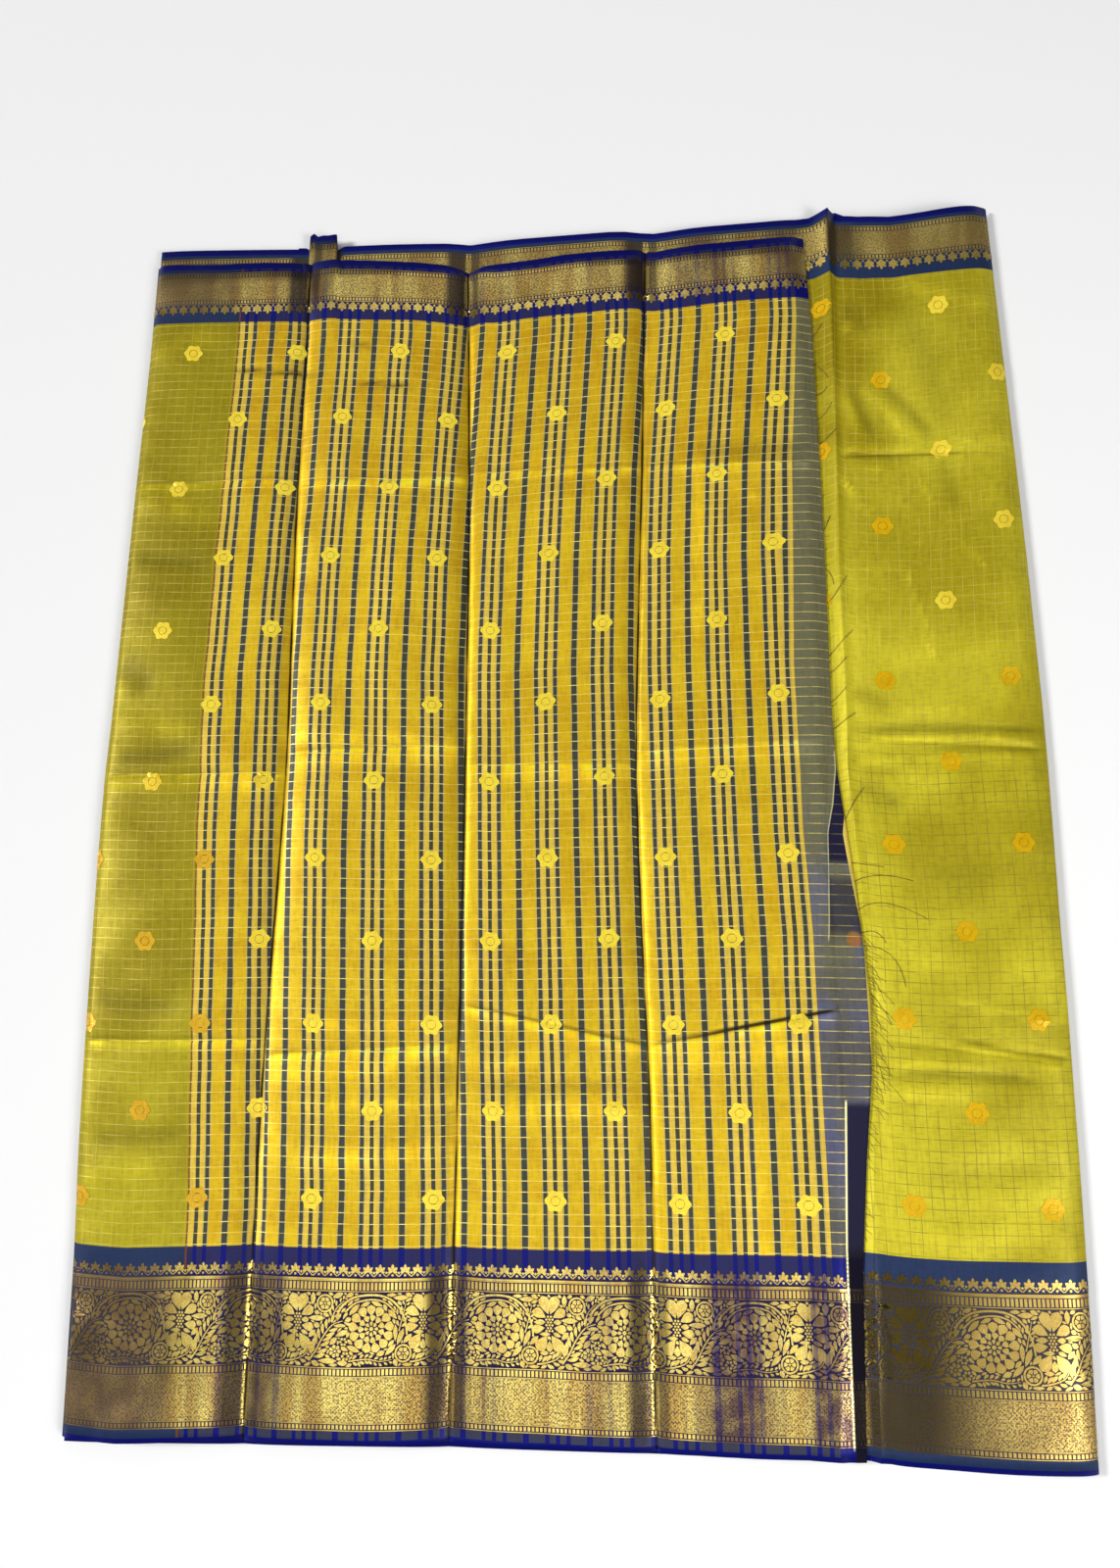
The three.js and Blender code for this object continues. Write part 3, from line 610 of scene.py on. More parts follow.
def shadedGold(place, colour, lines):  # painted shade beside the pressed lines, and painted dull shade between some of them
    x, y = place.inMm()
    far = y > 0
    paintedDull = sum(x.step(low - 8, low + 6) * (1 - x.step(high - 6, high + 8)) * amount
               for low, high, amount in shadeZones)
    grain = place.noise(60).step(0.3, 0.7)
    paintedDull = (paintedDull * (0.65 + 0.35 * grain) * (1 - far * 0.45)).atMost(0.94)
    # painted dull shade on the gold
    colour = paintedDull.fade(colour, dyesAndPaintedLight["paintedDullShade"])
    colour = (lines * (0.08 + 0.5 * paintedDull)).fade(colour, dyesAndPaintedLight["weft"])
    # painted shade on the gold of the stretch below, beside its ridge
    besideRidgeShade = x.step(248, 254) * (1 - x.step(296, 368)) * (1 - far)
    besideRidgeShade = besideRidgeShade + x.step(266, 270) * (1 - x.step(286, 314)) * far * 0.85
    colour = (besideRidgeShade * 0.92).fade(colour, dyesAndPaintedLight["paintedRidgeShade"])

    # painted shade in strips left and right of each pressed line
    def mark(away):
        left = away.step(-creaseShade["left"], -creaseShade["left"] * 0.6) * (1 - away.step(-4.5, -2))
        return left + away.step(1.5, 3.5) * (1 - away.step(creaseShade["right"] * 0.6, creaseShade["right"])) * 0.75

    marks = sum(mark(x - (far * (farLine - nearLine) + nearLine)) for nearLine, farLine in creaseShade["lines"])
    return (marks * 0.88).fade(colour, dyesAndPaintedLight["paintedCreaseShade"])


def fromStripe(u):  # distance from the middle of the nearest group of stripes
    return (u - (stripe["first"] - stripe["pitch"] / 2)).repeat(stripe["pitch"])


def navyLines(u):  # the navy stripes go on through the borders
    away = fromStripe(u)
    lines = (1 - away.step(1.5, 2.1)) + away.band(7.2, 10.8, 0.6) + away.step(24.3, 24.9)
    first, last = stripe["line"], stripe["start"]
    return lines * u.step(first, first + 2) * (1 - u.step(last - 2, last))


class Weave:  # the cloth's map, and which part of the cloth each place on it is in
    def __init__(self, place):
        self.onMap = place.node("ShaderNodeUVMap", uv_map="clothMap")
        self.u, self.v = u, v = self.onMap.inMm()
        self.far = cloth["width"] - v
        self.half = stripe["pitch"] / 2
        self.share = (fromStripe(u) + (self.noise(160, 2, (1, 0.2, 1)) - 0.5) * 0.7) / self.half
        self.onGreen = u.step(stripe["start"] - 0.2, stripe["start"] + 0.2)
        self.onBelow = u > 2000
        self.inEnd = 1 - u.step(48.2, 48.6)
        self.nearHalf = 1 - v.step(560, 720)
        self.inBorder = (1 - v.step(wide["edge"] - 0.3, wide["edge"] + 0.3)).atLeast(
            1 - self.far.step(narrow["edge"] - 0.3, narrow["edge"] + 0.3))
        self.inMustard = self.along(black, black, black, white, black, black, black)
        across = place.inMm()[0] - ((v - 165) * 0.045).atLeast((v - 165) * 0.01)
        # the gap beside the turned fold, painted as a deep shadow
        self.inGapShadow = across.step(239.4, 240.6) * (1 - self.onBelow) * (1 - v.step(282, 290))
        # a painted highlight along the fold edge beside the gap
        self.foldHighlight = across.band(238.0, 239.7, 0.6) * v.band(10, 288, 4) * (1 - self.onBelow)
        self.fromTurn = u - ((553 - v) * 0.15 + 15).atLeast(15.0)  # from the raw end's turned edge
        # the cloth turned down past this edge: its own navy, darkened by painted shade
        turnedOver = v.band(498, 614, 10) + v.band(432, 486, 18) * 0.75
        self.inTurn = (1 - self.fromTurn.step(-0.6, 0.2)) * turnedOver

    def noise(self, *values):
        return self.onMap.noise(*values)

    def along(self, navy, thin, beige, mustard, green, endBand, line):  # colours along the length
        stops = [(0, navy), (1.8, thin), (6.3, beige), (7.2, navy), (10.8, beige), (11.8, mustard),
                 (23.7, beige), (24.6, navy)]
        stops = [(at / self.half, colour) for at, colour in stops]
        colour = self.onMap.node("ShaderNodeValToRGB", {0: self.share}, stops=stops)
        colour = self.u.step(stripe["start"] - 1.6, stripe["start"] - 1.2).fade(colour, dyesAndPaintedLight["startLine"])
        colour = self.onGreen.fade(colour, green)
        colour = (1 - self.u.step(51.4, 51.8)).fade(colour, line)
        return self.inEnd.fade(colour, endBand)


def rawEndColour(weave):  # bluish where it catches the light; a flower of the layer below is seen through it
    u, v = weave.u, weave.v
    blue = v.band(350, 375, 40) + v.band(400, 540, 50) * 0.7 + v.band(180, 290, 60) * 0.7
    colour = v.step(330, 480).fade(dyesAndPaintedLight["endLow"], dyesAndPaintedLight["endBand"])
    colour = (blue * weave.noise(26, 2, (1, 0.35, 1)).step(0.38, 0.62) * 0.6).fade(colour, dyesAndPaintedLight["endSheen"])
    # painted shade on the turned-down cloth, over its navy
    colour = weave.inTurn.fade(colour, dyesAndPaintedLight["turnedNavyShade"])
    flower = {"u": 10, "v": 429, "inner": 5, "outer": 9}
    fromU, fromV = u - flower["u"], v - flower["v"]
    spot = 1 - (fromU * fromU + fromV * fromV).math("SQRT").step(flower["inner"], flower["outer"])
    colour = (spot * 0.8).fade(colour, dyesAndPaintedLight["endFlower"])
    # a painted highlight along the turned edge
    colour = (weave.fromTurn.band(0, 1.2, 0.5) * v.band(428, 604, 6)).fade(colour, dyesAndPaintedLight["paintedTurnedEdgeHighlight"])
    return ((1 - u.step(1.4, 2.0)) * v.band(160, 560, 20) * 0.95).fade(colour, dyesAndPaintedLight["rawEdge"])


def bodyColour(weave):
    u, v = weave.u, weave.v
    # painted shade in patches, and right of the ridge on the far half
    shadePatches = weave.noise(7, 3).step(0.35, 0.65) * 0.6 + u.step(3020, 3080) * v.step(850, 930) * 0.6
    # the top stretch's green is painted shaded, lighter towards its near end
    top = ((1 - v.step(200, 560)) * 0.4).fade(dyesAndPaintedLight["greenTopShaded"], dyesAndPaintedLight["green"])
    top = shadePatches.fade(top, dyesAndPaintedLight["greenTopShadePatch"])
    green = weave.onBelow.fade(top, shadePatches.fade(dyesAndPaintedLight["green"], dyesAndPaintedLight["greenShadePatch"]))
    streak = weave.noise(30, 3, (0.3, 1, 1)).step(0.42, 0.66)
    # streaks of deeper dye, and painted shade towards the far end
    mustard = (streak * 0.5 + v.step(780, 1080) * 0.4).fade(dyesAndPaintedLight["mustard"], dyesAndPaintedLight["mustardDeepAndShade"])
    colour = weave.along(dyesAndPaintedLight["navy"], dyesAndPaintedLight["thin"], dyesAndPaintedLight["beige"], black, green, rawEndColour(weave),
                         dyesAndPaintedLight["thin"])
    return weave.inMustard.fade(colour, mustard)


def borderColour(weave):
    v, navy = weave.v, dyesAndPaintedLight["borderNavy"]
    colour, mottled = (weave.along(navy, shade, shade, shade, dyesAndPaintedLight["borderGreen"], navy, shade)
                       for shade in (dyesAndPaintedLight["borderPlain"], dyesAndPaintedLight["selvedge"]))
    colour = (v.band(4, wide["navy"]) * 0.6).fade(colour, mottled)
    return (1 - v.step(3.5, 4.5)).atLeast(1 - weave.far.step(6, 7)).fade(colour, navy)


def checkThreads(weave):  # the light check, and on the near half of the stretch below the check painted dark, as it looks in shade
    u, v, onBelow, onGreen = weave.u, weave.v, weave.onBelow, weave.onGreen
    pitch = 9.35
    broken = weave.noise(75, 2, (1, 0.35, 1)).step(0.36, 0.6)
    across = 1 - (v + 3).repeat(pitch).step(0.2, 0.5)
    lengthwise = 1 - (u + 3).repeat(pitch).step(0.15, 0.45)
    inBody = 1 - weave.inBorder
    dark = across.atLeast(lengthwise) * (0.22 + 0.58 * broken) * onBelow * inBody * weave.nearHalf
    across = across * (0.3 + 0.7 * broken) * (1 - onGreen * 0.6) * (1 - weave.inEnd * 0.35)
    plain = weave.inMustard * (1 - weave.inEnd) * (1 - onGreen)
    across = across * (1 - weave.inTurn * 0.8) * (1 - plain * 0.4)
    light = across.atLeast(lengthwise * onGreen * (0.14 + onBelow * broken * 0.3)) * inBody
    return light * (1 - onBelow * (weave.nearHalf * 0.4 + 0.4)) * (1 - weave.inGapShadow), dark


def borderGold(weave):  # rows of beads between thin lines, and fields of close gold
    u, v, far = weave.u, weave.v, weave.far

    def beads(value, low, high, pitch):
        bead = 1 - u.repeat(pitch).step(pitch * 0.28, pitch * 0.36)
        lines = value.band(low + 0.2, low + 0.9, 0.3) + value.band(high - 0.9, high - 0.2, 0.3)
        return value.band(low + 1.7, high - 1.7, 0.5) * bead + lines

    def field(value, low, high):
        speck = ((u + v).repeat(3.1) + (u - v).repeat(3.1)).step(1.2, 0.6)
        return value.band(low, high, 0.4) * (1 - speck * 0.45 - weave.noise(520).step(0.46, 0.56) * 0.55)

    gold = field(v, wide["rowA"], wide["field"]) + field(far, narrow["rowA"], narrow["field"])
    gold = gold + v.band(wide["rowC"], wide["rowC"] + 1.6, 0.4)
    for low, high in (("navy", "rowA"), ("field", "rowB"), ("scroll", "rowC")):
        gold = gold + beads(v, wide[low], wide[high], 3.5)
    for low, high in (("navy", "rowA"), ("field", "rowB")):
        gold = gold + beads(far, narrow[low], narrow[high], 3.3)
    return gold.atMost(1.0)


def goldTone(weave, place):
    u, v, inBorder = weave.u, weave.v, weave.inBorder
    patchy = weave.noise(46, 3, (1, 0.14, 1)).step(0.35, 0.65)
    tone = ((patchy * 0.6 + weave.noise(700) * 0.3) * inBorder).fade(dyesAndPaintedLight["zari"], dyesAndPaintedLight["zariShade"])
    # gold woven over the green weft is duller
    ofGreen = u.step(596, 668) * (0.75 - weave.onBelow * 0.4 * v.step(600, 700))
    tone = (ofGreen * inBorder).fade(tone, dyesAndPaintedLight["zariOnGreenAndShade"])
    return inBorder.fade(tone, shadedGold(place, tone, navyLines(u)))


def inLight(weave, colour):  # painted highlights and painted shade: the value stored on each point lightens or darkens its colour
    mark = colour.node("ShaderNodeAttribute", None, 2, attribute_name="sheen")
    lit = (mark * (0.35 + 0.65 * weave.noise(60, 2, (1, 0.25, 1)).step(0.3, 0.7))).atLeast(0.0)
    colour = colour.vector("SCALE", {"Scale": lit * 0.75 + 1}).vector("MINIMUM", {1: (0.96, 0.94, 0.6)})
    # painted shade in tucks and pressed lines; the same colour marks the dark slubs of the yarn
    return (mark * -0.62).atLeast(0.0).atMost(0.95).fade(colour, dyesAndPaintedLight["tuck"])


def clothMaterial(name):
    material, place = emptyMaterial(name)
    weave = Weave(place)
    u, v = weave.u, weave.v
    colour = weave.inBorder.fade(bodyColour(weave), borderColour(weave))
    slub = weave.noise(420, 3, (0.25, 1, 1)) * 0.5 + weave.noise(420, 3, (1, 0.12, 1)) * 0.5  # uneven yarn
    colour = ((slub - 0.45).atLeast(0.0) * 1.1).fade(colour, dyesAndPaintedLight["tuck"])
    check, shadedCheck = checkThreads(weave)
    colour = shadedCheck.fade(colour, dyesAndPaintedLight["checkInShade"])
    inGold = v.band(wide["navy"], wide["rowC"] + 3, 0.4)
    inGold = inGold + weave.far.band(narrow["navy"], narrow["rowB"] + 1, 0.4)
    colour = (inGold * 0.85).fade(colour, weave.onGreen.fade(dyesAndPaintedLight["ground"], dyesAndPaintedLight["groundDull"]))
    gold = borderGold(weave)
    metal = gold.atLeast(check)
    colour = metal.fade(colour, goldTone(weave, place))
    # painted shadow in the gap, turning to painted navy shade past the border
    colour = (weave.inGapShadow * 0.96).fade(colour, v.step(156, 172).fade(dyesAndPaintedLight["gap"], dyesAndPaintedLight["turnedNavyShade"]))
    # the painted highlight along the fold edge, dashed
    dashed = 1 - v.repeat(3.4).step(0.9, 1.4) * (1 - v.step(155, 165)) * 0.6
    colour = (weave.foldHighlight * dashed).fade(colour, dyesAndPaintedLight["paintedFoldHighlight"])

    threads = (u * (math.tau / 0.9)).math("SINE") * (v * (math.tau / 0.8)).math("SINE")
    height = threads * 0.02 + slub * 0.16 + weave.noise(150, 3) * 0.16 + metal * 0.10
    hollow = weave.inGapShadow.atLeast(weave.inTurn)  # no sheen in the dark places
    rough = 0.47 - metal * 0.17 + metal * weave.onGreen * 0.10 + (slub - 0.5) * 0.15 + hollow * 0.6
    metallic = (gold * 0.66 + 0.26 - check * 0.1) * (1 - hollow)
    surface(place, {"Base Color": inLight(weave, colour), "Roughness": rough, "Metallic": metallic,
                    "IOR": 1.45}, height, 0.001)
    return material


def threadMaterial(name, colour, shade, metallic, paintedDullPast=None, bright=None):  # raised motifs
    material, place = emptyMaterial(name)
    x, y = place.inMm()
    grain = place.noise(900)
    mottle = grain.step(0.42, 0.58) * 0.4 + place.noise(70, 1).step(0.35, 0.7) * 0.3
    tone = mottle.fade(dyesAndPaintedLight[colour], dyesAndPaintedLight[shade])
    if paintedDullPast:
        # painted dull shade on the motifs past the given x, less on the far half; the same colour is the gold
        # woven over the green weft
        paintedDull = (1 - x.step(*paintedDullPast["x"])) * (0.7 - (y > 0) * paintedDullPast["farLess"])
        u = place.node("ShaderNodeAttribute", None, 1, attribute_name="weaveAt").inMm()[0]
        tone = shadedGold(place, paintedDull.fade(tone, dyesAndPaintedLight["zariOnGreenAndShade"]), navyLines(u))
    if bright:
        lit = x.step(*bright["x"]).math(bright["join"], y.step(*bright["y"]))
        tone = lit.fade(tone, (mottle * 0.7).fade(dyesAndPaintedLight["flowerLight"], dyesAndPaintedLight["flowerShade"]))
    rough = 0.28 + grain * 0.10
    surface(place, {"Base Color": tone, "Metallic": metallic, "Roughness": rough}, grain, 0.0004)
    return material


silk = clothMaterial("sareeCloth")
topGold = threadMaterial("goldThread", "zari", "zariShade", 0.92,
                         paintedDullPast={"x": (-380, -310), "farLess": 0.0})
belowGold = threadMaterial("goldThreadOnGreen", "zari", "zariShade", 0.92,
                           paintedDullPast={"x": (1000, 1001), "farLess": 0.4})
topButiGold = threadMaterial("flowerThread", "flowerTop", "flowerTopDeep", 0.18,
                             bright={"x": (-310, -270), "join": "MAXIMUM", "y": (-80, 60)})
belowButiGold = threadMaterial("flowerThreadOnGreen", "flowerBelow", "flowerBelowDeep", 0.18,
                               bright={"x": (310, 330), "join": "MINIMUM", "y": (60, 160)})

meshLines = {  # mm between the lines of the two stretches' meshes, and close to their folds
    "step": 4.0, "topRowStep": 4.2, "belowRowStep": 4.4, "hiddenStep": 14,
    "besideFold": [0, 1.0, 2.2, 4, 6.5, 10, 15],
    "besideCross": [0, 1.6, 3.6, 6.5, 11],
    "besideHidden": [0, 4, 10],
    "pleat": [-272, -269.9, -268.9, -265, -260, -254, -248, -241, -238.2, -237.1, -234, -231],
    "ridge": [-14, -10, -7, -5, -3.2, -1.8, -0.8, 0, 0.8, 1.8, 3.2, 5, 8, 12],
}


def topStretch():
    panels = ("left", "first", "second", "third")
    folds = [flatX[name] for name in (*panels, "fourth")]
    columns = gridLines(folds, meshLines["besideFold"], meshLines["step"])
    columns = [columns[0]] + [c for c in columns if c > -433] + [246, 248, 250, 252, 254, 256]
    rows = gridLines([-566, -245, 18, 303, 412, 528], meshLines["besideCross"], meshLines["topRowStep"])
    x, y, z = clothGrid(columns, rows[1:-1], nearTop, farTop, topHeight)
    x, y, z, u = addNose(x, y, z, topU(x, y), -1, cloth["floorBelow"])
    farEdge = y[-1] + 6 * bell(x[-1] + 92, 16)  # the pattern runs past the dip in its edge
    v = (y - y[0]) / (farEdge - y[0]) * cloth["width"]
    return closedSheet("palluCloth", x, y, z, u, v, paintedLightOf(x, y, topWrinkles, 0.56, panels), silk)


def stretchBelow():
    step = meshLines["step"]
    hidden = gridLines([-434, -92, 225], meshLines["besideHidden"], meshLines["hiddenStep"])
    columns = [c for c in hidden if not -272 < c < -230] + meshLines["pleat"] + spread(229, 252, step)
    columns += [flatX["ridge"] + d for d in meshLines["ridge"]]
    columns += spread(282, 418, step) + [418, 422, 426, 429, 431.5, 433.5, 436]
    rows = gridLines([-566, -245, 18, 303, 545], meshLines["besideCross"], meshLines["belowRowStep"])
    rows = rows[1:] + [551, 557, 562]
    x, y, z = clothGrid(sorted(set(columns)), rows, nearBelow, farBelow, belowHeight)
    x, y, z, u = addNose(x, y, z, belowU(x, y), 1, 3.7)
    v = (y - y[0]) / (y[-1] - y[0]) * cloth["width"]
    shown = smooth(0, 6, x - lineX("ridge", y)) * (1 - smooth(-6, 0, x - lineX("right", y)))
    sheen = shown * paintedLightOf(x, y, belowWrinkles, 0.34, ())
    sheen -= 1.5 * (y > 540) * smooth(-236.4, -235.4, x) * (1 - smooth(-232, -229, x))  # painted shadow beside the pleat
    return closedSheet("bodyCloth", x, y, z, u, v, sheen, silk)


palluCloth, palluUpper = topStretch()
print("top stretch", len(palluCloth.data.polygons))
bodyCloth, bodyUpper = stretchBelow()
print("stretch below", len(bodyCloth.data.polygons))

layers = {
    "count": 5, "height": 4.7, "rings": 4,  # rings for each layer, so that its edge is round
    "sideSteps": 90, "endSteps": 110, "near": -570, "far": 568, "notch": 0.5, "leftIn": 1.0,
}
layerInset = table("left right near far", [
    (2.6, 0.8, 1.5, 3.5), (1.2, 0.8, 4.5, 1.0), (1.2, 3.4, 0.6, 5.0), (3.4, 3.4, 3.6, 2.2),
    (3.4, 1.8, 1.2, 0.0),
])


def layerRing(level):  # the outline of the hidden layers at one height
    layer = min(layers["count"] - 1, level // layers["rings"])
    part = level / layers["rings"] - layer
    inset = {side: layerInset[side][layer] for side in layerInset}
    roundIn = layers["notch"] * (1 - math.sqrt(max(0, 1 - (2 * part - 1) ** 2)))
    across = np.arange(layers["endSteps"]) / layers["endSteps"]
    up = np.arange(layers["sideSteps"]) / layers["sideSteps"]

    def leftSide(y):
        return lineX("left", y) + layers["leftIn"] + inset["left"] + roundIn

    def rightSide(y):
        return lineX("right", y) - inset["right"] - roundIn

    def end(edge, cornerY, share, waveStep):
        x = leftSide(cornerY) + share * (rightSide(cornerY) - leftSide(cornerY))
        return x, read(edge, "x", "y", x) + 0.8 * np.sin(x / waveStep + layer * 1.7) + roundIn

    nearX, nearY = end(nearStack, -575, across, 47)
    farX, farY = end(farStack, 575, 1 - across, 61)
    low, high = layers["near"] + inset["near"], layers["far"] - inset["far"]
    rightY, leftY = low + up * (high - low), high - up * (high - low)
    x = np.concatenate([nearX, rightSide(rightY), farX, leftSide(leftY)])
    y = np.concatenate([nearY + inset["near"], rightY, farY - inset["far"] - 2 * roundIn, leftY])
    z = np.full_like(x, level * layers["height"] / layers["count"] / layers["rings"])
    return np.stack([x, y, z], axis=-1) * mm


def tubeFaces(first, rings, count):  # faces around rings of points, closed at both ends
    faces = [(low + i, low + (i + 1) % count, low + count + (i + 1) % count, low + count + i)
             for low in range(first, first + (rings - 1) * count, count) for i in range(count)]
    last = first + (rings - 1) * count
    return faces + [tuple(range(first + count - 1, first - 1, -1)), tuple(range(last, last + count))]


def makeLayers():
    rings = [layerRing(level) for level in range(layers["rings"] * layers["count"] + 1)]
    data = bpy.data.meshes.new("hiddenLayers")
    data.from_pydata(np.concatenate(rings).tolist(), [], tubeFaces(0, len(rings), len(rings[0])))
    uv = data.uv_layers.new(name="clothMap")
    for loop in data.loops:
        point = data.vertices[loop.vertex_index].co
        uv.data[loop.index].uv = (2.2 - point.x, point.y + cloth["width"] / 2 * mm)
    data.materials.append(silk)
    work = bmesh.new()
    work.from_mesh(data)
    bmesh.ops.triangulate(work, faces=[f for f in work.faces if len(f.verts) > 4])
    work.to_mesh(data)
    work.free()
    return addPiece("hiddenLayers", data)


hiddenLayers = makeLayers()
print("hidden layers", len(hiddenLayers.data.polygons))


# woven motifs are lists of flat outlines, in mm
def turned(points, angle, cx=0.0, cy=0.0):
    c, s = math.cos(angle), math.sin(angle)
    return [(cx + px * c - py * s, cy + px * s + py * c) for px, py in points]


def petal(length, width, start=0.0, bend=0.0, tip=0.7, steps=5):  # along +X; a small tip is blunt
    top = 1.1 / (1.1 + tip)
    peak = top ** 1.1 * (1 - top) ** tip
    upper = [(t, width / 2 * t ** 1.1 * (1 - t) ** tip / peak) for t in (i / steps for i in range(steps + 1))]
    outline = upper + [(t, -py) for t, py in upper[-2:0:-1]]
    return [(start + length * t, py + bend * length * t * t) for t, py in outline]


def ringOfPetals(cx, cy, count, start, length, width, phase=0.0, steps=4, tip=0.7):
    return [turned(petal(length, width, start, tip=tip, steps=steps), phase + math.tau * i / count, cx, cy)
            for i in range(count)]


def circle(radius, cx, cy, angles):
    return [(cx + radius * math.cos(t), cy + radius * math.sin(t)) for t in angles]


def disc(cx, cy, radius, sides=8):
    return [circle(radius, cx, cy, [math.tau * i / sides for i in range(sides)])]


def hoop(cx, cy, inner, outers):  # the outer edge may wave
    shapes = []
    for i, outer in enumerate(outers):
        a, b = math.tau * i / len(outers), math.tau * (i + 1) / len(outers)
        nextOuter = outers[(i + 1) % len(outers)]
        shapes.append(circle(inner, cx, cy, [a]) + circle(outer, cx, cy, [a])
                      + circle(nextOuter, cx, cy, [b]) + circle(inner, cx, cy, [b]))
    return shapes


def smoothPath(points, steps=4):
    fine = []
    for i in range(len(points) - 1):
        p0, p1, p2 = points[max(0, i - 1)], points[i], points[i + 1]
        p3 = points[min(len(points) - 1, i + 2)]
        for t in (k / steps for k in range(steps)):
            fine.append(tuple(0.5 * (2 * b + (c - a) * t + (2 * a - 5 * b + 4 * c - d) * t * t
                                     + (3 * b - a - 3 * c + d) * t ** 3)
                              for a, b, c, d in zip(p0, p1, p2, p3)))
    return fine + [points[-1]]


def stem(points, width, taper=0.35):  # a curved band through a few points
    fine = smoothPath(points)
    sides = []
    for i, (px, py) in enumerate(fine):
        before, after = fine[max(0, i - 1)], fine[min(len(fine) - 1, i + 1)]
        size = math.hypot(after[0] - before[0], after[1] - before[1])
        half = width / 2 * (1 - (1 - taper) * i / (len(fine) - 1))
        nx, ny = -(after[1] - before[1]) / size * half, (after[0] - before[0]) / size * half
        sides.append(((px + nx, py + ny), (px - nx, py - ny)))
    return [[a[1], b[1], b[0], a[0]] for a, b in zip(sides, sides[1:])]


def leafyStem(points, width, leaf, leafWidth, pitch):
    shapes = stem(points, width)
    fine = smoothPath(points, 8)
    run, nextLeaf, lean = 0.0, pitch * 0.6, 0.9
    whole = sum(math.dist(a, b) for a, b in zip(fine, fine[1:]))
    for a, b in zip(fine, fine[1:]):
        run += math.dist(a, b)
        if run >= nextLeaf:
            heading = math.atan2(b[1] - a[1], b[0] - a[0])
            reach = leaf * (1 - 0.4 * run / whole)
            for hand in (1, -1):
                shape = petal(reach, leafWidth * (1 - 0.3 * run / whole), width / 2 + 0.5, -0.22 * hand)
                shapes.append(turned(shape, heading + hand * lean, *b))
            nextLeaf += pitch
    return shapes


def lotus(cx, cy, radius):
    shapes = []
    for count, *sizes, phase, steps, tip in (
            (13, 0.56, 0.46, 0.40, 0.13, 6, 0.62), (11, 0.31, 0.29, 0.26, 0.3, 5, 0.5),
            (8, 0.12, 0.20, 0.15, 0.0, 4, 0.5)):
        shapes += ringOfPetals(cx, cy, count, *(radius * size for size in sizes), phase, steps, tip)
    return shapes + disc(cx, cy, radius * 0.09)


def tallFlower(cx, cy):
    shapes = []
    for hand in (-1, 1):
        for height, angle, length, width, start in ((5, 20, 16, 9.4, 2.6), (3, 60, 12.5, 8.2, 3.6),
                                                    (-3, 98, 11, 7.2, 4.0), (-7, 145, 15, 9.8, 3.4)):
            heading = math.pi / 2 - hand * math.radians(angle)
            shapes.append(turned(petal(length, width, start, tip=0.55, steps=6), heading, cx, cy + height))
    for row in range(6):
        for step in range(3 - row % 2):
            shapes += disc(cx + (step - (2 - row % 2) / 2) * 2.6, cy - 6 + row * 2.3, 1.05, 6)
    shapes.append(turned(petal(9, 5.4, 12), -math.pi / 2, cx, cy - 2))
    return shapes


def rosette(cx, cy):
    shapes = ringOfPetals(cx, cy, 6, 1.3, 4.0, 3.9, tip=0.4) + disc(cx, cy, 1.0, 6)
    return shapes + hoop(cx, cy, 6.0, [7.5] * 16)


def edgesOf(shape):
    return zip(shape, shape[1:] + shape[:1])


def clearance(shape, x, y):  # distance from a shape, 0 inside it
    room = np.full(x.shape, 99.0)
    inside = np.zeros(x.shape, bool)
    for (ax, ay), (bx, by) in edgesOf(shape):
        size = (bx - ax) ** 2 + (by - ay) ** 2
        t = np.clip(((x - ax) * (bx - ax) + (y - ay) * (by - ay)) / size, 0, 1)
        room = np.minimum(room, np.hypot(x - ax - t * (bx - ax), y - ay - t * (by - ay)))
        crosses = (ay > y) != (by > y)
        inside ^= crosses & (x < ax + (y - ay) * (bx - ax) / (by - ay if by != ay else 1))
    room[inside] = 0
    return room


filling = {"cell": 0.8, "edge": 1.2, "gap": 0.55, "least": 0.75, "most": 2.4}  # mm


def leaves(shapes, length, height):  # leaves fill what the large shapes leave free
    cell, edge, gap = filling["cell"], filling["edge"], filling["gap"]
    gridX, gridY = np.meshgrid(np.arange(-length / 2, length / 2, cell), np.arange(edge, height - 1, cell))
    room = np.minimum(gridY, height - gridY)

    def shut(shape):
        for shift in (-length, 0, length):
            moved = [(px + shift, py) for px, py in shape]
            if max(p[0] for p in moved) > -length / 2 - 5 and min(p[0] for p in moved) < length / 2 + 5:
                np.minimum(room, clearance(moved, gridX, gridY), out=room)

    def roomAt(px, py):
        column = int(round((px + length / 2) / cell)) % room.shape[1]
        row = int(round((py - edge) / cell))
        return room[row, column] if 0 <= row < room.shape[0] else 0

    def reach(cx, cy, angle, radius):
        far, c, s = 0.0, math.cos(angle), math.sin(angle)
        while far < 3.4 * radius and roomAt(cx + far * c, cy + far * s) > gap + 0.35 * radius:
            far += 0.5
        return far

    for shape in shapes:
        shut(shape)
    added = []
    while True:
        best = np.unravel_index(np.argmax(room), room.shape)
        radius = min(filling["most"], room[best] - gap)
        if radius < filling["least"]:
            return added
        cx, cy = gridX[best], gridY[best]
        spans = [(reach(cx, cy, a, radius) + reach(cx, cy, a + math.pi, radius), a)
                 for a in (math.pi * k / 8 for k in range(8))]
        span, angle = max(spans)
        back = reach(cx, cy, angle + math.pi, radius)
        leaf = petal(max(2.2 * radius, span), 1.9 * radius, -max(1.1 * radius, back), tip=0.9, steps=4)
        added.append(turned(leaf, angle, cx, cy))
        shut(added[-1])
        room[best] = 0


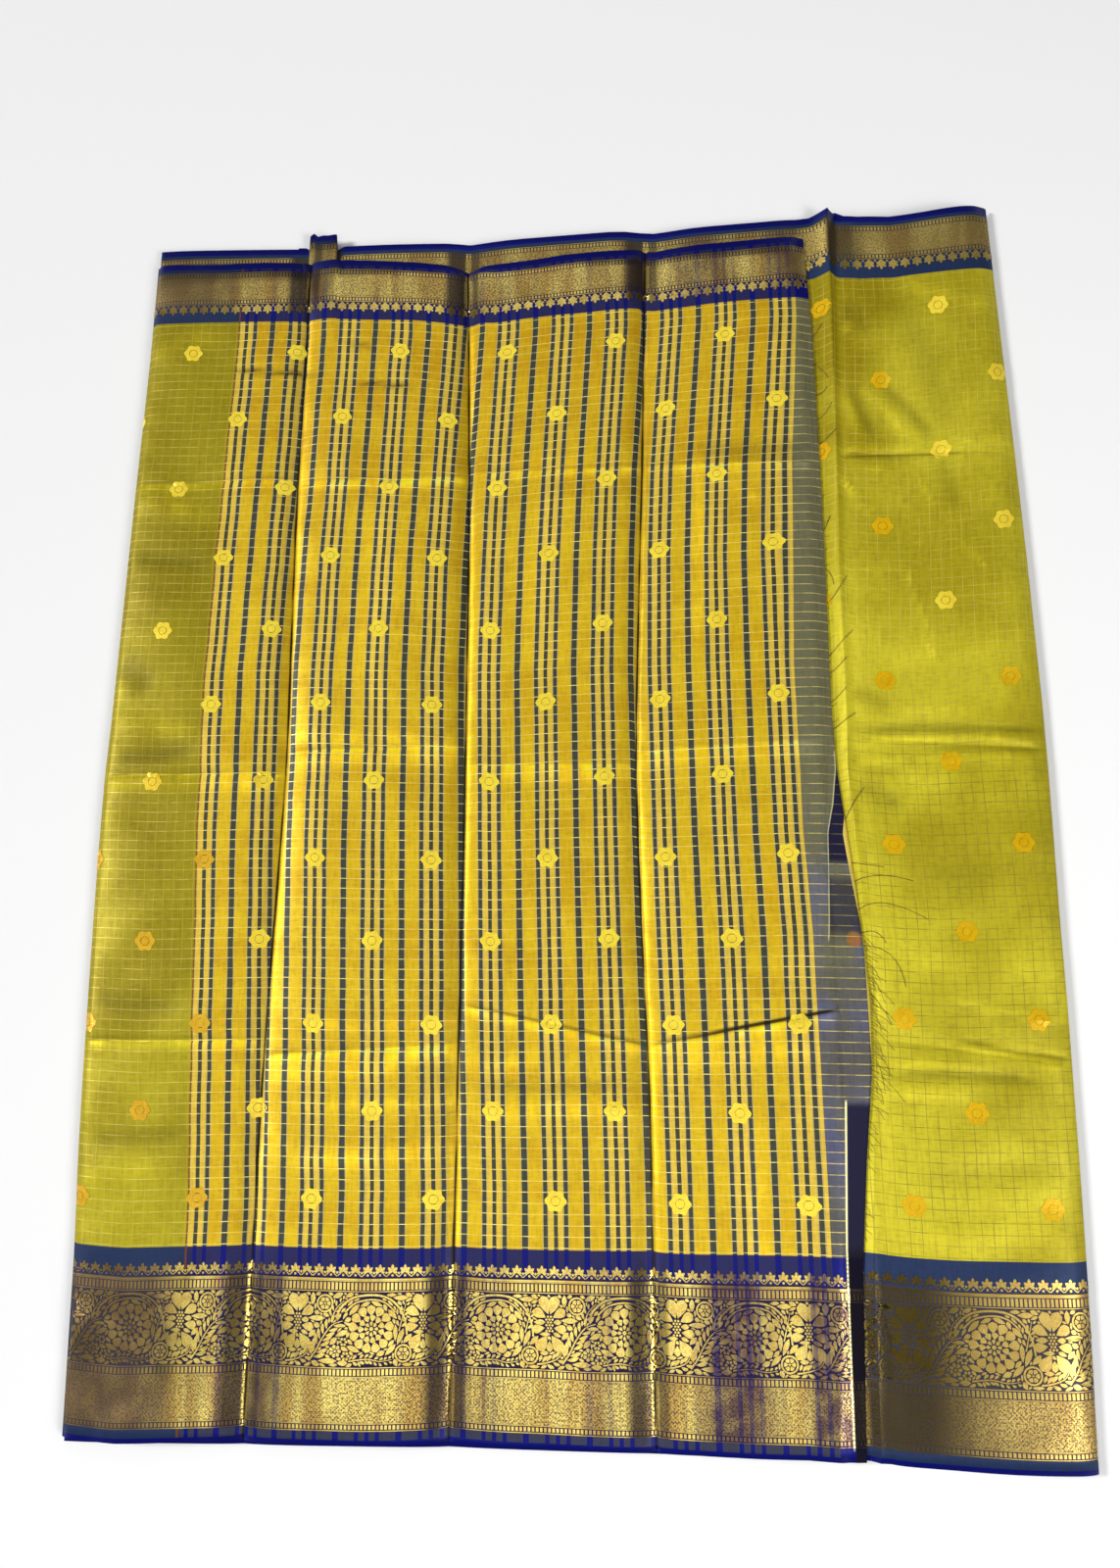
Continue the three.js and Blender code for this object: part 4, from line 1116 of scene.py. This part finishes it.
pattern = {  # mm along the cloth and up it
    "scroll": 110, "scrollHeight": 61, "crest": 10.9, "bulb": 11.3,
    "buti": 109, "butiRow": 76.7, "firstButiRow": 200, "butiRows": 12, "butiTurn": 0.12, "lift": 0.28,
    "clearEnd": 35,  # no raised thread nearer the raw end, where the cloth turns over
}


def scrollUnit():  # one repeat
    length, height = pattern["scroll"], pattern["scrollHeight"]
    shapes = lotus(0, 31, 19.5) + tallFlower(45, 37) + rosette(-41, 51.5) + rosette(28, 11)
    arch = [(-30, 39), (-27, 48), (-16, 56.5), (0, 59), (14, 56.5), (24, 48.5), (29.5, 37), (31, 26)]
    shapes += stem(arch, 1.9, 0.8)
    shapes += stem([(-23, 44.5), (-14, 52.2), (0, 55.2), (12, 52.6), (21, 44.5)], 1.6, 0.7)
    for points, *sizes in (
            ([(-54, 5), (-48, 13), (-42, 24), (-34, 34), (-25, 37.5)], 1.7, 11, 3.6, 5.2),
            ([(-35, 37), (-31, 47), (-24, 54)], 1.3, 6, 2.4, 4.2),
            ([(-19, 5), (-4, 6.6), (8, 4.6), (18, 6)], 1.2, 5.2, 2.6, 4.4),
            ([(34, 4), (43, 5.5), (53, 10), (58, 20)], 1.5, 7.5, 3.4, 4.8),
            ([(24, 29), (27, 40), (30, 52)], 1.2, 5.5, 2.6, 4.4)):
        shapes += leafyStem(points, *sizes)
    shapes += ringOfPetals(-31, 13, 7, 1.5, 4.0, 3.0) + disc(-31, 13, 1.1)
    shapes += ringOfPetals(-24, 20.5, 6, 1.1, 2.6, 2.2) + ringOfPetals(-22, 9, 6, 1.1, 2.8, 2.3)
    shapes = [shape for shape in shapes
              if min(p[1] for p in shape) > 0.2 and max(p[1] for p in shape) < height - 0.2]
    return shapes + leaves(shapes, length, height)


def fan(cy, size):  # five pointed lobes
    return [turned(petal(length * size, 2.7 * size, 0.3, tip=0.8, steps=4), math.radians(angle), 0, cy)
            for angle, length in ((-8, 4.0), (40, 5.2), (90, 6.0), (140, 5.2), (188, 4.0))]


def crestHead():  # a fan over two slanting lines, and a bead between two heads
    shapes = fan(4.2, 1.0)
    for hand in (-1, 1):
        shapes += stem([(0, 4.6), (hand * 2.8, 2.4), (hand * 5.2, 0.2)], 0.8, 1.0)
    return shapes + disc(0, 1.3, 1.1, 6) + disc(pattern["crest"] / 2, 3.2, 1.15, 6)


def bulbHead():
    head = fan(4.6, 1.12) + [turned(petal(7.4, 5.8, -3.4, tip=0.9), math.pi / 2, 0, 3.2)]
    return head + disc(pattern["bulb"] / 2, 1.7, 1.2, 6)


def buti():  # the small round flower scattered over the body
    sides = 36
    edge = [9.0 + 0.9 * math.cos(6 * math.tau * i / sides) for i in range(sides)]
    return hoop(0, 0, 4.3, edge) + disc(0, 0, 3.8, 12)


def layOut(name, shapes, over=1):  # mirrored in X, as lengths run from right to left; over -1 points it down
    work = bmesh.new()
    for shape in shapes:
        area = sum(ax * by - bx * ay for (ax, ay), (bx, by) in edgesOf(shape))
        outline = [(-px * mm, over * py * mm, 0) for px, py in shape]
        if area * over < 0:
            outline.reverse()
        face = work.faces.new([work.verts.new(point) for point in outline])
        if len(shape) > 4:
            bmesh.ops.poke(work, faces=[face])
    data = bpy.data.meshes.new(name)
    work.to_mesh(data)
    work.free()
    return addPiece(name, data)


def layTree():  # repeats a motif in rows and lays it on the cloth by its map
    tree = bpy.data.node_groups.new("layOnCloth", "GeometryNodeTree")
    sockets = {"Geometry": "Geometry", "Cloth": "Object", "Motif": "Object", "Count": "Int",
               "Per Row": "Int", "Pitch": "Float", "Start": "Float", "Row Start": "Float",
               "Row Pitch": "Float", "Turn": "Float", "Lift": "Float", "From": "Float", "Seed": "Int",
               "Thread": "Material"}
    for name, kind in sockets.items():
        tree.interface.new_socket(name, in_out="INPUT", socket_type="NodeSocket" + kind)
    tree.interface.new_socket("Geometry", in_out="OUTPUT", socket_type="NodeSocketGeometry")
    start = Wire(tree)
    given = start.node("NodeGroupInput").other
    index = start.node("GeometryNodeInputIndex")
    row = (index / given("Per Row")).math("FLOOR")
    column = index - row * given("Per Row") + row.math("FLOORED_MODULO", 2.0) * 0.5
    at = start.node("ShaderNodeCombineXYZ", {
        0: given("Start") + column * given("Pitch"), 1: given("Row Start") + row * given("Row Pitch")})
    line = start.node("GeometryNodeMeshLine", {"Count": given("Count")})
    line = start.node("GeometryNodeSetPosition", {"Geometry": line, "Position": at})
    motif, clothShape = (start.node("GeometryNodeObjectInfo", {"Object": given(name)}).other("Geometry")
                         for name in ("Motif", "Cloth"))
    lean = start.node("FunctionNodeRandomValue", {
        2: given("Turn") * -1.0, 3: given("Turn"), "ID": index, "Seed": given("Seed")}, 1, data_type="FLOAT")
    turn = start.node("ShaderNodeCombineXYZ", {2: lean})
    copies = start.node("GeometryNodeInstanceOnPoints", {
        "Points": line, "Instance": motif, "Rotation": turn})
    copies = start.node("GeometryNodeRealizeInstances", {"Geometry": copies})
    place = start.node("GeometryNodeInputPosition")
    copies = start.node("GeometryNodeStoreNamedAttribute", {
        "Geometry": copies, "Name": "weaveAt", "Value": place}, data_type="FLOAT_VECTOR")
    clothMap = start.node("GeometryNodeInputNamedAttribute", {"Name": "clothMap"}, data_type="FLOAT_VECTOR")

    def onCloth(field):
        inputs = {"Mesh": clothShape, "Value": field, "UV Map": clothMap, "Sample UV": place}
        return start.node("GeometryNodeSampleUVSurface", inputs, data_type="FLOAT_VECTOR")

    point = onCloth(place)
    normal = onCloth(start.node("GeometryNodeInputNormal"))
    lifted = point.vector("ADD", {1: normal.vector("SCALE", {"Scale": given("Lift")})})
    along = start.node("ShaderNodeSeparateXYZ", {0: place})
    laidOut = start.node("FunctionNodeBooleanMath", {
        0: point.other("Is Valid"), 1: along > given("From")}, operation="AND")
    off = start.node("FunctionNodeBooleanMath", {0: laidOut}, operation="NOT")
    laid = start.node("GeometryNodeDeleteGeometry", {"Geometry": copies, "Selection": off}, domain="POINT")
    laid = start.node("GeometryNodeSetPosition", {"Geometry": laid, "Position": lifted})
    laid = start.node("GeometryNodeRealizeInstances", {"Geometry": laid})
    laid = start.node("GeometryNodeSetMaterial", {"Geometry": laid, "Material": given("Thread")})
    start.node("NodeGroupOutput", {"Geometry": laid})
    return tree


layOnCloth = layTree()


def lay(name, clothPiece, **values):
    holder = addPiece(name, bpy.data.meshes.new(name))
    modifier = holder.modifiers.new("lay", "NODES")
    modifier.node_group = layOnCloth
    values = {"Cloth": clothPiece, "Per Row": values["Count"], "Row Pitch": 1.0, "Turn": 0.0,
              "Lift": pattern["lift"] * mm, "From": 0.0, "Seed": 3, **values}
    for socket in layOnCloth.interface.items_tree:
        if socket.in_out == "INPUT" and socket.name in values:
            modifier[socket.identifier] = values[socket.name]
    holder.update_tag()
    graph = bpy.context.evaluated_depsgraph_get()
    data = bpy.data.meshes.new_from_object(holder.evaluated_get(graph))
    bpy.data.objects.remove(holder)
    return addPiece(name, data)


flowers = {
    "scroll": layOut("scroll", scrollUnit()),
    "crest": layOut("crest", crestHead()),
    "bulb": layOut("bulb", bulbHead(), -1),
    "buti": layOut("buti", buti()),
}


def dress(upper, label, first, last, scrollAt, butiAt, threads):  # mm along the cloth
    def laid(name, motif, more, start, rowStart, **others):
        pitch = pattern[motif]
        values = {"Motif": flowers[motif], "Count": int((last - first) / pitch) + more, "Pitch": pitch * mm,
                  "Start": start * mm, "Row Start": rowStart * mm, "Thread": threads[motif], **others}
        return lay(label + name, upper, **values)

    scrollStart = first - 110 + (scrollAt - first) % pattern["scroll"]
    clear = {"From": pattern["clearEnd"] * mm}
    perRow = int((last - first) / pattern["buti"]) + 2
    rows = {"Per Row": perRow, "Count": perRow * pattern["butiRows"], "Row Pitch": pattern["butiRow"] * mm,
            "Turn": pattern["butiTurn"]}
    return [laid("Scroll", "scroll", 2, scrollStart, wide["rowB"], **clear),
            laid("Crest", "crest", 1, first, wide["rowC"] + 3.2, **clear),
            laid("Bulbs", "bulb", 1, first, cloth["width"] - narrow["rowB"] - 0.3),
            laid("Butis", "buti", 2, butiAt, pattern["firstButiRow"], **rows)]


topThreads = {"scroll": topGold, "crest": topGold, "bulb": topGold, "buti": topButiGold}
belowThreads = {"scroll": belowGold, "crest": belowGold, "bulb": belowGold, "buti": belowButiGold}
topMotifs = dress(palluUpper, "top", 0, 730, stripe["first"] + 379.5, stripe["first"], topThreads)
belowMotifs = dress(bodyUpper, "below", 2915, 3120, 3000, 3000 - 1.5 * pattern["buti"], belowThreads)
for helper in (*flowers.values(), palluUpper, bodyUpper):
    bpy.data.objects.remove(helper)
print("motifs", [len(piece.data.polygons) for piece in topMotifs + belowMotifs])

frayed = {"seed": 11, "long": 0.24, "short": 0.13, "lift": 0.5, "step": 2.0, "sides": 4}  # mm
longThreads = table("root bendX bendY endX endY", [
    (438, 255, 446, 260, 453), (410, 257, 408, 263, 393), (376, 257, 377, 262, 384),
    (350, 258, 352, 265, 366), (322, 257, 328, 268, 337), (230, 254, 238, 258, 248),
    (196, 257, 192, 258, 178), (158, 258, 166, 270, 186), (106, 258, 118, 273, 132),
    (90, 258, 97, 266, 106), (62, 256, 68, 264, 77), (36, 258, 44, 271, 52),
    (-50, 262, -34, 275, -18), (-86, 272, -88, 288, -91), (-104, 278, -93, 312, -104),
    (-130, 280, -112, 322, -138), (-150, 278, -142, 286, -158), (-160, 296, -160, 300, -196),
])
fringeRuns = table("start stop pitch reach drift uneven", [
    (-150, -302, 3.4, 11, -8, 8), (-175, -290, 9, 17, -20, 10), (-308, -350, 5.2, 6, -6, 4),
    (-372, -410, 6.0, 5, -4, 3), (450, 20, 14, 4, 3, 3),
])


def threadRuns():  # root, bend, end and radius of each thread
    random = np.random.default_rng(frayed["seed"])

    def rootAt(y):
        return float(lineX("raw", y)) - 1.0, y

    for root, bendX, bendY, endX, endY in zip(*longThreads.values()):
        yield rootAt(root), (bendX, bendY), (endX, endY), frayed["long"]
    for start, stop, pitch, reach, drift, uneven in zip(*fringeRuns.values()):
        for k in range(int((start - stop) / pitch)):
            x, y = rootAt(start - k * pitch + random.uniform(-0.6, 0.6))
            change = random.uniform(-1, 1, 3) * uneven
            bend = (x + 0.5 * reach, y + 0.1 * drift + 0.4 * change[0])
            yield (x, y), bend, (x + reach + change[1], y + drift + 0.8 * change[2]), frayed["short"]


def threadRings(ground, root, bend, end, radius):  # a thread that lies on the cloth below
    count = max(4, int((math.dist(root, bend) + math.dist(bend, end)) / frayed["step"]))
    path = []
    for t in (k / count for k in range(count + 1)):
        px, py = ((1 - t) ** 2 * a + 2 * t * (1 - t) * b + t * t * c for a, b, c in zip(root, bend, end))
        hit = ground.ray_cast((px * mm, py * mm, 0.1), (0, 0, -1))[0]
        path.append((px, py, hit.z / mm if hit is not None else cloth["floorBelow"] + cloth["wallBelow"]))
    for k, (px, py, pz) in enumerate(path):
        near, after = path[max(0, k - 1)], path[min(count, k + 1)]
        pz = max(pz, near[2] - 0.3, after[2] - 0.3) + frayed["lift"]
        size = math.hypot(after[0] - near[0], after[1] - near[1]) or 1
        nx, ny = -(after[1] - near[1]) / size, (after[0] - near[0]) / size
        for side in range(frayed["sides"]):
            angle = -math.tau * side / frayed["sides"]
            across, rise = radius * math.cos(angle), radius * math.sin(angle)
            yield (px + nx * across) * mm, (py + ny * across) * mm, (pz + rise) * mm


def yarnMaterial():
    material, place = emptyMaterial("looseYarn")
    tone = place.noise(90, 1).step(0.4, 0.62)
    surface(place, {"Base Color": tone.fade(dyesAndPaintedLight["yarn"], dyesAndPaintedLight["yarnLight"]), "Roughness": 0.8})
    return material


def makeThreads():
    work = bmesh.new()
    work.from_mesh(bodyCloth.data)
    ground = BVHTree.FromBMesh(work)
    work.free()
    points, faces = [], []
    for run in threadRuns():
        rings = list(threadRings(ground, *run))
        faces += tubeFaces(len(points), len(rings) // frayed["sides"], frayed["sides"])
        points += rings
    data = bpy.data.meshes.new("rawEndThreads")
    data.from_pydata(points, [], faces)
    data.materials.append(yarnMaterial())
    return addPiece("rawEndThreads", data)


threads = makeThreads()
print("threads", len(threads.data.polygons))

floorLook = {"halfSize": 6, "colour": (0.86, 0.86, 0.86, 1), "roughness": 0.9}  # m
floorCorners = [(x * floorLook["halfSize"], y * floorLook["halfSize"], 0)
                for x, y in ((-1, -1), (1, -1), (1, 1), (-1, 1))]
floorMesh = bpy.data.meshes.new("floor")
floorMesh.from_pydata(floorCorners, [], [(0, 1, 2, 3)])
floorMaterial, floorPlace = emptyMaterial("paleFloor")
surface(floorPlace, {"Base Color": floorLook["colour"], "Roughness": floorLook["roughness"]})
floorMesh.materials.append(floorMaterial)
floor = addPiece("floor", floorMesh)

skyBrightness = 0.13
lamps = {  # m and W
    "near": {"place": (-0.18, -1.05, 2.0), "aim": (-0.18, -1.05, 0), "size": (1.9, 1.5), "power": 13},
    "far": {"place": (-0.2, 1.95, 2.0), "aim": (-0.2, 1.95, 0), "size": (1.9, 1.0), "power": 6.5},
    "key": {"place": (-9.6, 1.6, 6.4), "aim": (0, 0, 0), "size": (2.4, 2.4), "power": 1120},
    "fill": {"place": (2.6, -1.8, 2.2), "aim": (0.2, -0.1, 0), "size": (1.4, 1.4), "power": 82},
}
for name, lamp in lamps.items():
    data = bpy.data.lights.new(name, "AREA")
    data.shape = "RECTANGLE"
    data.size, data.size_y = lamp["size"]
    data.energy = lamp["power"]
    light = addPiece(name, data)
    light.location = lamp["place"]
    light.rotation_euler = (Vector(lamp["aim"]) - Vector(lamp["place"])).to_track_quat("-Z", "Y").to_euler()
world = bpy.data.worlds.new("studio")
world.use_nodes = True
world.node_tree.nodes["Background"].inputs["Color"].default_value = (1, 1, 1, 1)
world.node_tree.nodes["Background"].inputs["Strength"].default_value = skyBrightness
bpy.context.scene.world = world

for piece in (palluCloth, bodyCloth, hiddenLayers, threads, *topMotifs, *belowMotifs):
    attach(piece, "root")
for piece, node, slot in ((palluCloth, "pallu_stretch", "pallu_cloth"),
                          (bodyCloth, "body_stretch", "body_cloth"),
                          (hiddenLayers, "folded_layers", "hidden_layers"),
                          (threads, "loose_threads", "thread")):
    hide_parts(node)
for pieces, slot in ((topMotifs, "pallu_cloth"), (belowMotifs, "body_cloth")):
    for piece in pieces:
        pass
